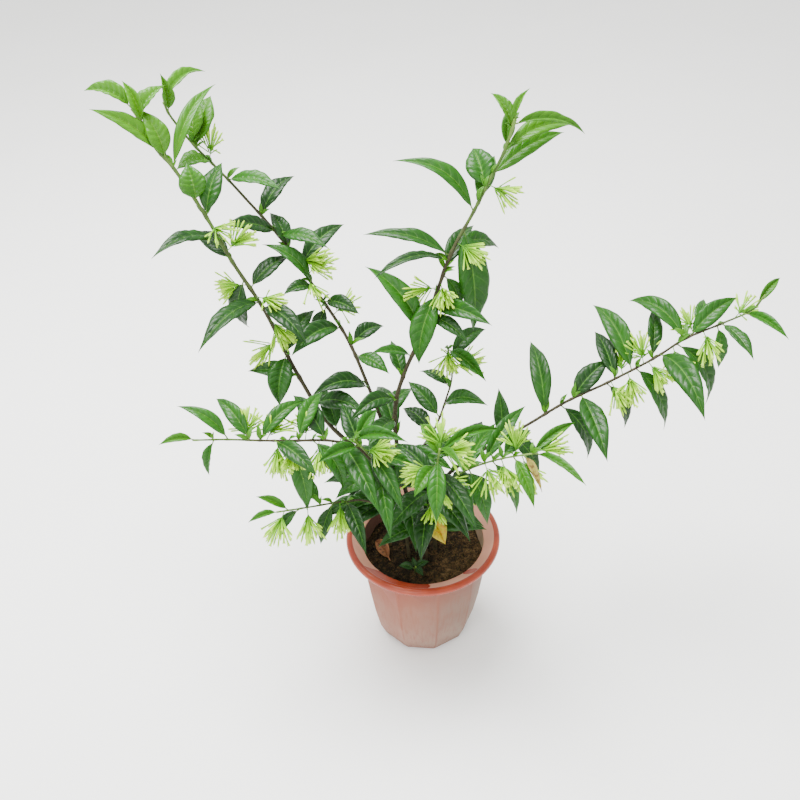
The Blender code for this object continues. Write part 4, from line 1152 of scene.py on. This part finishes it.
def grow_stem(name, shoots, slot):
    """All the bark and all the leaves of one stem, as two pieces that stand for its node."""
    bark_shape = empty_shape("youth")
    leaf_shape = empty_shape("youth", "tint", "dry")
    corners = corners_of(name)
    own = random.Random(name + " looks")
    for k, shoot in enumerate(shoots):
        rng = random.Random(name + str(k))
        seats = []
        for leaf in shoot.all_leaves(rng):
            habit = leaf_habit(leaf, rng)
            root = shoot.at(leaf.share)[0]
            held = as_held(root, leaf, corners)
            if held:
                blade = Blade(root, held, habit, own)
                tipward = (leaf.share - BRIGHT_FROM) / (BRIGHTEST_AT - BRIGHT_FROM)
                youth = shoot.fresh + shoot.bright * limited(tipward, 0.0, 1.0)
                youth = limited(youth + own.uniform(*YOUTH_SPREAD), 0.0, 1.0)
                dry = 1.0 if leaf.share in shoot.dry else 0.0
                add_blade(leaf_shape, blade, youth=youth, tint=own.uniform(-1, 1), dry=dry)
                stalk_youth = OLDEST_STALK + (1 - OLDEST_STALK) * youth
                add_stalk(bark_shape, blade, [stalk_youth] * MIDRIB_RINGS)
                seats.append(root)
                if own.random() < BUD_SHARE and leaf.width > BUD_LEAF_WIDTH:
                    add_buds(leaf_shape, root, held.heading, own)
        grow_bark(bark_shape, shoot, k == 0, seats)
    leaves = new_piece(name + "_leaves", leaf_shape, leaf_upper, leaf_lower, sharp=180)
    wall = leaves.modifiers.new("Thickness", "SOLIDIFY")
    wall.thickness = LEAF_THICKNESS
    wall.offset = -1
    wall.material_offset = 1
    settle(leaves, slot, name)
    settle(new_piece(name + "_bark", bark_shape, bark, sharp=60), slot, name)


bark = bark_finish()
leaf_upper = leaf_finish("leaf_upper_face", upper=True)
leaf_lower = leaf_finish("leaf_lower_face", upper=False)
for name, shoots in LEAFY_STEMS:
    grow_stem(name, shoots, "leafy_stem")


# Two leaves past their best: one has turned yellow and still hangs on the front stem, and one lies
# dry and brown on the soil. Each is a blade and a stalk like the others, in a finish of its own.
YELLOW_LEAF = Leaf(0.36, 300, -25, 46, 27)
FALLEN_LEAF = Leaf(0, 118, 0, 46, 19)
FALLEN_LEAF_BASE = (-48, -17)
LEAF_GAP = 0.3 * MM


def old_leaf_finish(name, ground, blotch, rim, roughness):
    """A leaf's one colour, with blotches on it and another colour at its rim and on its veins."""
    finish = Finish(name, specular_ior_level=0.25)
    out, vein, midrib = vein_pattern(finish)
    whole = finish.place()
    spots = finish.grain(whole, 210.0, detail=3.0)
    cloud = finish.grain(whole, 60.0, detail=2.0)
    colour = finish.mix(spots.between(0.52, 0.7), ground, blotch)
    colour = finish.mix((out.between(0.55, 1.0) * cloud.between(0.3, 0.6)).held(), colour, rim)
    finish.set(base_color=finish.mix((midrib * 0.5 + vein * 0.2).held(), colour, rim))
    finish.set(roughness=roughness + cloud * 0.15)
    finish.raise_by(1 - vein * 0.8 - midrib + spots * 0.2, 0.5 * MM, 0.6)
    return finish


def grow_old_leaf(name, root, leaf, finish, slot, lowest=None):
    """One blade and its stalk in one piece, let down to a lowest height if one is given."""
    shape = empty_shape()
    habit = leaf_habit(leaf, random.Random(name.replace("_", " ")))
    blade = Blade(root, leaf, habit, random.Random(name + " looks"))
    add_blade(shape, blade)
    bmesh.ops.solidify(shape, geom=shape.faces[:], thickness=LEAF_THICKNESS)
    add_stalk(shape, blade)
    bmesh.ops.recalc_face_normals(shape, faces=shape.faces)
    if lowest is not None:
        rise = lowest - min(vertex.co.z for vertex in shape.verts)
        bmesh.ops.translate(shape, verts=shape.verts, vec=(0, 0, rise))
    settle(new_piece(name + "_blade", shape, finish, sharp=60), slot, name)


yellow_finish = old_leaf_finish(
    "yellowed_leaf", paint(162, 142, 20), paint(168, 106, 26), paint(140, 134, 36), 0.36,
)
yellow_seat, stem_radius = FRONT.at(YELLOW_LEAF.share)
off_stem = stem_radius + PETIOLE_RADIUS + LEAF_GAP
yellow_root = yellow_seat + direction(YELLOW_LEAF.heading, 0) * off_stem
yellow_held = as_held(yellow_root, YELLOW_LEAF, corners_of("yellow_leaf"))
grow_old_leaf("yellow_leaf", yellow_root, yellow_held, yellow_finish, "yellow_leaf")

brown_finish = old_leaf_finish(
    "dry_leaf", paint(112, 70, 42), paint(64, 42, 25), paint(136, 92, 60), 0.6,
)
fallen_root = Vector((*FALLEN_LEAF_BASE, 0)) * MM
fallen_height = SOIL_TOP + LEAF_GAP
grow_old_leaf("fallen_leaf", fallen_root, FALLEN_LEAF, brown_finish, "dry_leaf", fallen_height)


# The flower sprays: tufts of slender greenish tubes, each in a small green cup, that swell at the
# mouth and end in short pointed lobes. They share one stalk. The solid model's flowers give the
# tuft its place and spread, and more flowers stand between them.
FLOWER_SIDES = 6
OPEN_FLOWER_SIDES = 10
FLOWER_LENGTH = (0.75, 1.35)
FLOWER_SEAT = (0.4, 1.05)
FLOWER_ASTRAY = 0.5
FLOWER_OUTWARD = 0.2
FLOWER_SAG = (0.4 * MM, 2.6 * MM)
CUP_RINGS = ((0.00, 0.40), (0.04, 0.80), (0.13, 0.95))
FLOWER_RINGS = (
    *CUP_RINGS, (0.15, 0.70), (0.45, 0.84), (0.68, 1.06), (0.82, 1.24), (0.91, 1.16), (1.00, 0.14),
)
OPEN_FLOWER_RINGS = (
    *CUP_RINGS, (0.15, 0.66), (0.45, 0.74), (0.70, 0.92), (0.84, 1.20), (0.92, 1.60), (0.97, 2.45),
)
LOBE_RINGS = 2
LOBE_NOTCH = 0.42
OPEN_SHARE = 0.2
EXTRA_FLOWERS = 2.9
BETWEEN = (0.25, 0.75)
STALK_RADIUS = 0.7 * MM
STALK_WAIST = 0.8
STALK_SINK = 1.5 * MM
PEDICEL_RADIUS = 0.35 * MM
PEDICEL_SIDES = 5
PEDICEL_SHARE = 0.10
CORE_EDGE = 2.7 * MM
FOOT_EDGE = 1.6 * MM
NEAREST_TIP = 16 * MM


def mean_place(corners):
    return sum((corner.co for corner in corners), Vector()) / len(corners)


def short_edges(corner, limit):
    return sum(edge.calc_length() < limit for edge in corner.link_edges)


def spray_layout(node):
    """Where the solid model's spray has its stalk's foot, its middle and its flowers' tips.

    A corner of the foot has two short edges, a corner of the core in the middle has four or more,
    and a flower's tip is where three edges meet.
    """
    shape = bmesh.new()
    shape.from_mesh(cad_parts[node].data)
    bmesh.ops.remove_doubles(shape, verts=shape.verts, dist=WELD)
    foot = mean_place([v for v in shape.verts if short_edges(v, FOOT_EDGE) == 2])
    middle = mean_place([v for v in shape.verts if short_edges(v, CORE_EDGE) >= 4])
    tips = [v.co.copy() for v in shape.verts if len(v.link_edges) == 3]
    shape.free()
    return foot, middle, [tip for tip in tips if (tip - middle).length > NEAREST_TIP]


def bloom_finish():
    """Soft matt green, deep on the cup and pale towards the lobes."""
    finish = Finish("bloom", specular_ior_level=0.22)
    along, tint = finish.value("along"), finish.value("tint")
    cloud = finish.grain(finish.place(), 260.0, detail=2.0)
    paler = (along + (cloud - 0.5) * 0.08).held()
    green = finish.ramp(
        paler, (0.0, paint(56, 112, 10)), (0.14, paint(74, 130, 12)), (0.2, paint(102, 160, 14)),
        (0.6, paint(140, 194, 22)), (0.84, paint(170, 214, 50)), (1.0, paint(190, 222, 92)),
    )
    deeper = finish.mix((0.5 + tint * 0.5).held() * 0.45, green, paint(88, 148, 10))
    finish.set(base_color=deeper, roughness=0.5 + cloud * 0.1)
    finish.raise_by(cloud, 0.1 * MM, 0.4)
    return finish


def add_flower(shape, start, end, is_open, sag, tint):
    """One flower: a rod whose rings are set along its slightly drooping line."""
    rings = OPEN_FLOWER_RINGS if is_open else FLOWER_RINGS
    sides = OPEN_FLOWER_SIDES if is_open else FLOWER_SIDES
    made = add_copy(shape, rod_pattern(sides, len(rings) - 1))
    mark(shape, made, tint=tint)
    line = end - start
    right = line.orthogonal().normalized()
    up = line.normalized().cross(right)
    for vertex in made:
        i = round((vertex.co.z + 0.5) * (len(rings) - 1))
        share, radius = rings[i]
        turn = math.atan2(vertex.co.y, vertex.co.x)
        between_lobes = round(turn / (2 * math.pi) * sides) % 2 == 1
        if is_open and i >= len(rings) - LOBE_RINGS and between_lobes:
            radius *= LOBE_NOTCH
        out = (right * math.cos(turn) + up * math.sin(turn)) * radius * MM
        vertex.co = start + line * share + out + Vector((0, 0, -sag * share * share))
        mark(shape, [vertex], along=share)


def grow_spray(node):
    """One spray: its stalk, the solid model's own flowers and more between them."""
    foot, middle, ends = spray_layout(node)
    rng = random.Random(node + " looks")
    way = (middle - foot).normalized()
    shape = empty_shape("along", "tint")
    stalk = [foot - way * STALK_SINK, foot.lerp(middle, 0.5), middle]
    stalk_radii = [STALK_RADIUS, STALK_RADIUS * STALK_WAIST, STALK_RADIUS]
    add_rod(shape, stalk, stalk_radii, STALK_SIDES)
    extra = []
    for k in range(round(len(ends) * EXTRA_FLOWERS)):
        one, other = rng.sample(ends, 2) if len(ends) > 1 else (ends[0], ends[0])
        between = (one.lerp(other, rng.uniform(*BETWEEN)) - middle).normalized()
        aim = between + way * FLOWER_OUTWARD + any_way(rng) * FLOWER_ASTRAY
        length = (one - middle).length * rng.uniform(*FLOWER_LENGTH)
        extra.append(middle + aim.normalized() * length)
    for end in ends + extra:
        start = foot.lerp(middle, rng.uniform(*FLOWER_SEAT))
        base = start.lerp(end, PEDICEL_SHARE)
        pedicel = [start, start.lerp(base, 0.5), base]
        add_rod(shape, pedicel, [PEDICEL_RADIUS] * 3, PEDICEL_SIDES)
        is_open, sag = rng.random() < OPEN_SHARE, rng.uniform(*FLOWER_SAG)
        add_flower(shape, base, end, is_open, sag, rng.uniform(-1, 1))
    bmesh.ops.recalc_face_normals(shape, faces=shape.faces)
    settle(new_piece(node + "_tuft", shape, bloom, sharp=60), "flower_spray", node)


bloom = bloom_finish()
for node in sorted(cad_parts):
    if node.startswith("flower_spray"):
        grow_spray(node)


# The setting: a plain pale floor that the pot stands on, and soft daylight from a wide panel
# overhead, a weaker one at the front and a bright, even sky.
FLOOR_SIZE = 12.0
SKY = (1.0, 1.0, 0.98, 1.0)
SKY_STRENGTH = 1.7
PANEL_AIM = Vector((0, 0, 0.3))
PANELS = (
    ("sky_panel", Vector((-0.5, 0.5, 2.6)), 1.4, 195),
    ("front_panel", Vector((-1.0, -2.0, 1.5)), 1.6, 36),
)

ground = bmesh.new()
bmesh.ops.create_grid(ground, x_segments=1, y_segments=1, size=FLOOR_SIZE / 2)
floor_paint = Finish("floor", roughness=0.9, specular_ior_level=0.2)
mottle = floor_paint.grain(floor_paint.place(), 3.0)
floor_paint.set(base_color=floor_paint.mix(mottle, paint(244, 244, 242), paint(250, 250, 249)))
floor = new_piece("floor", ground, floor_paint)

world = bpy.data.worlds.new("sky")
world.use_nodes = True
sky = world.node_tree.nodes["Background"]
sky.inputs["Color"].default_value = SKY
sky.inputs["Strength"].default_value = SKY_STRENGTH
bpy.context.scene.world = world

for name, place, size, power in PANELS:
    panel = bpy.data.lights.new(name, "AREA")
    panel.shape = "SQUARE"
    panel.size = size
    panel.energy = power
    light = add_object(name, panel)
    light.location = place
    light.rotation_euler = (PANEL_AIM - place).to_track_quat("-Z", "Y").to_euler()
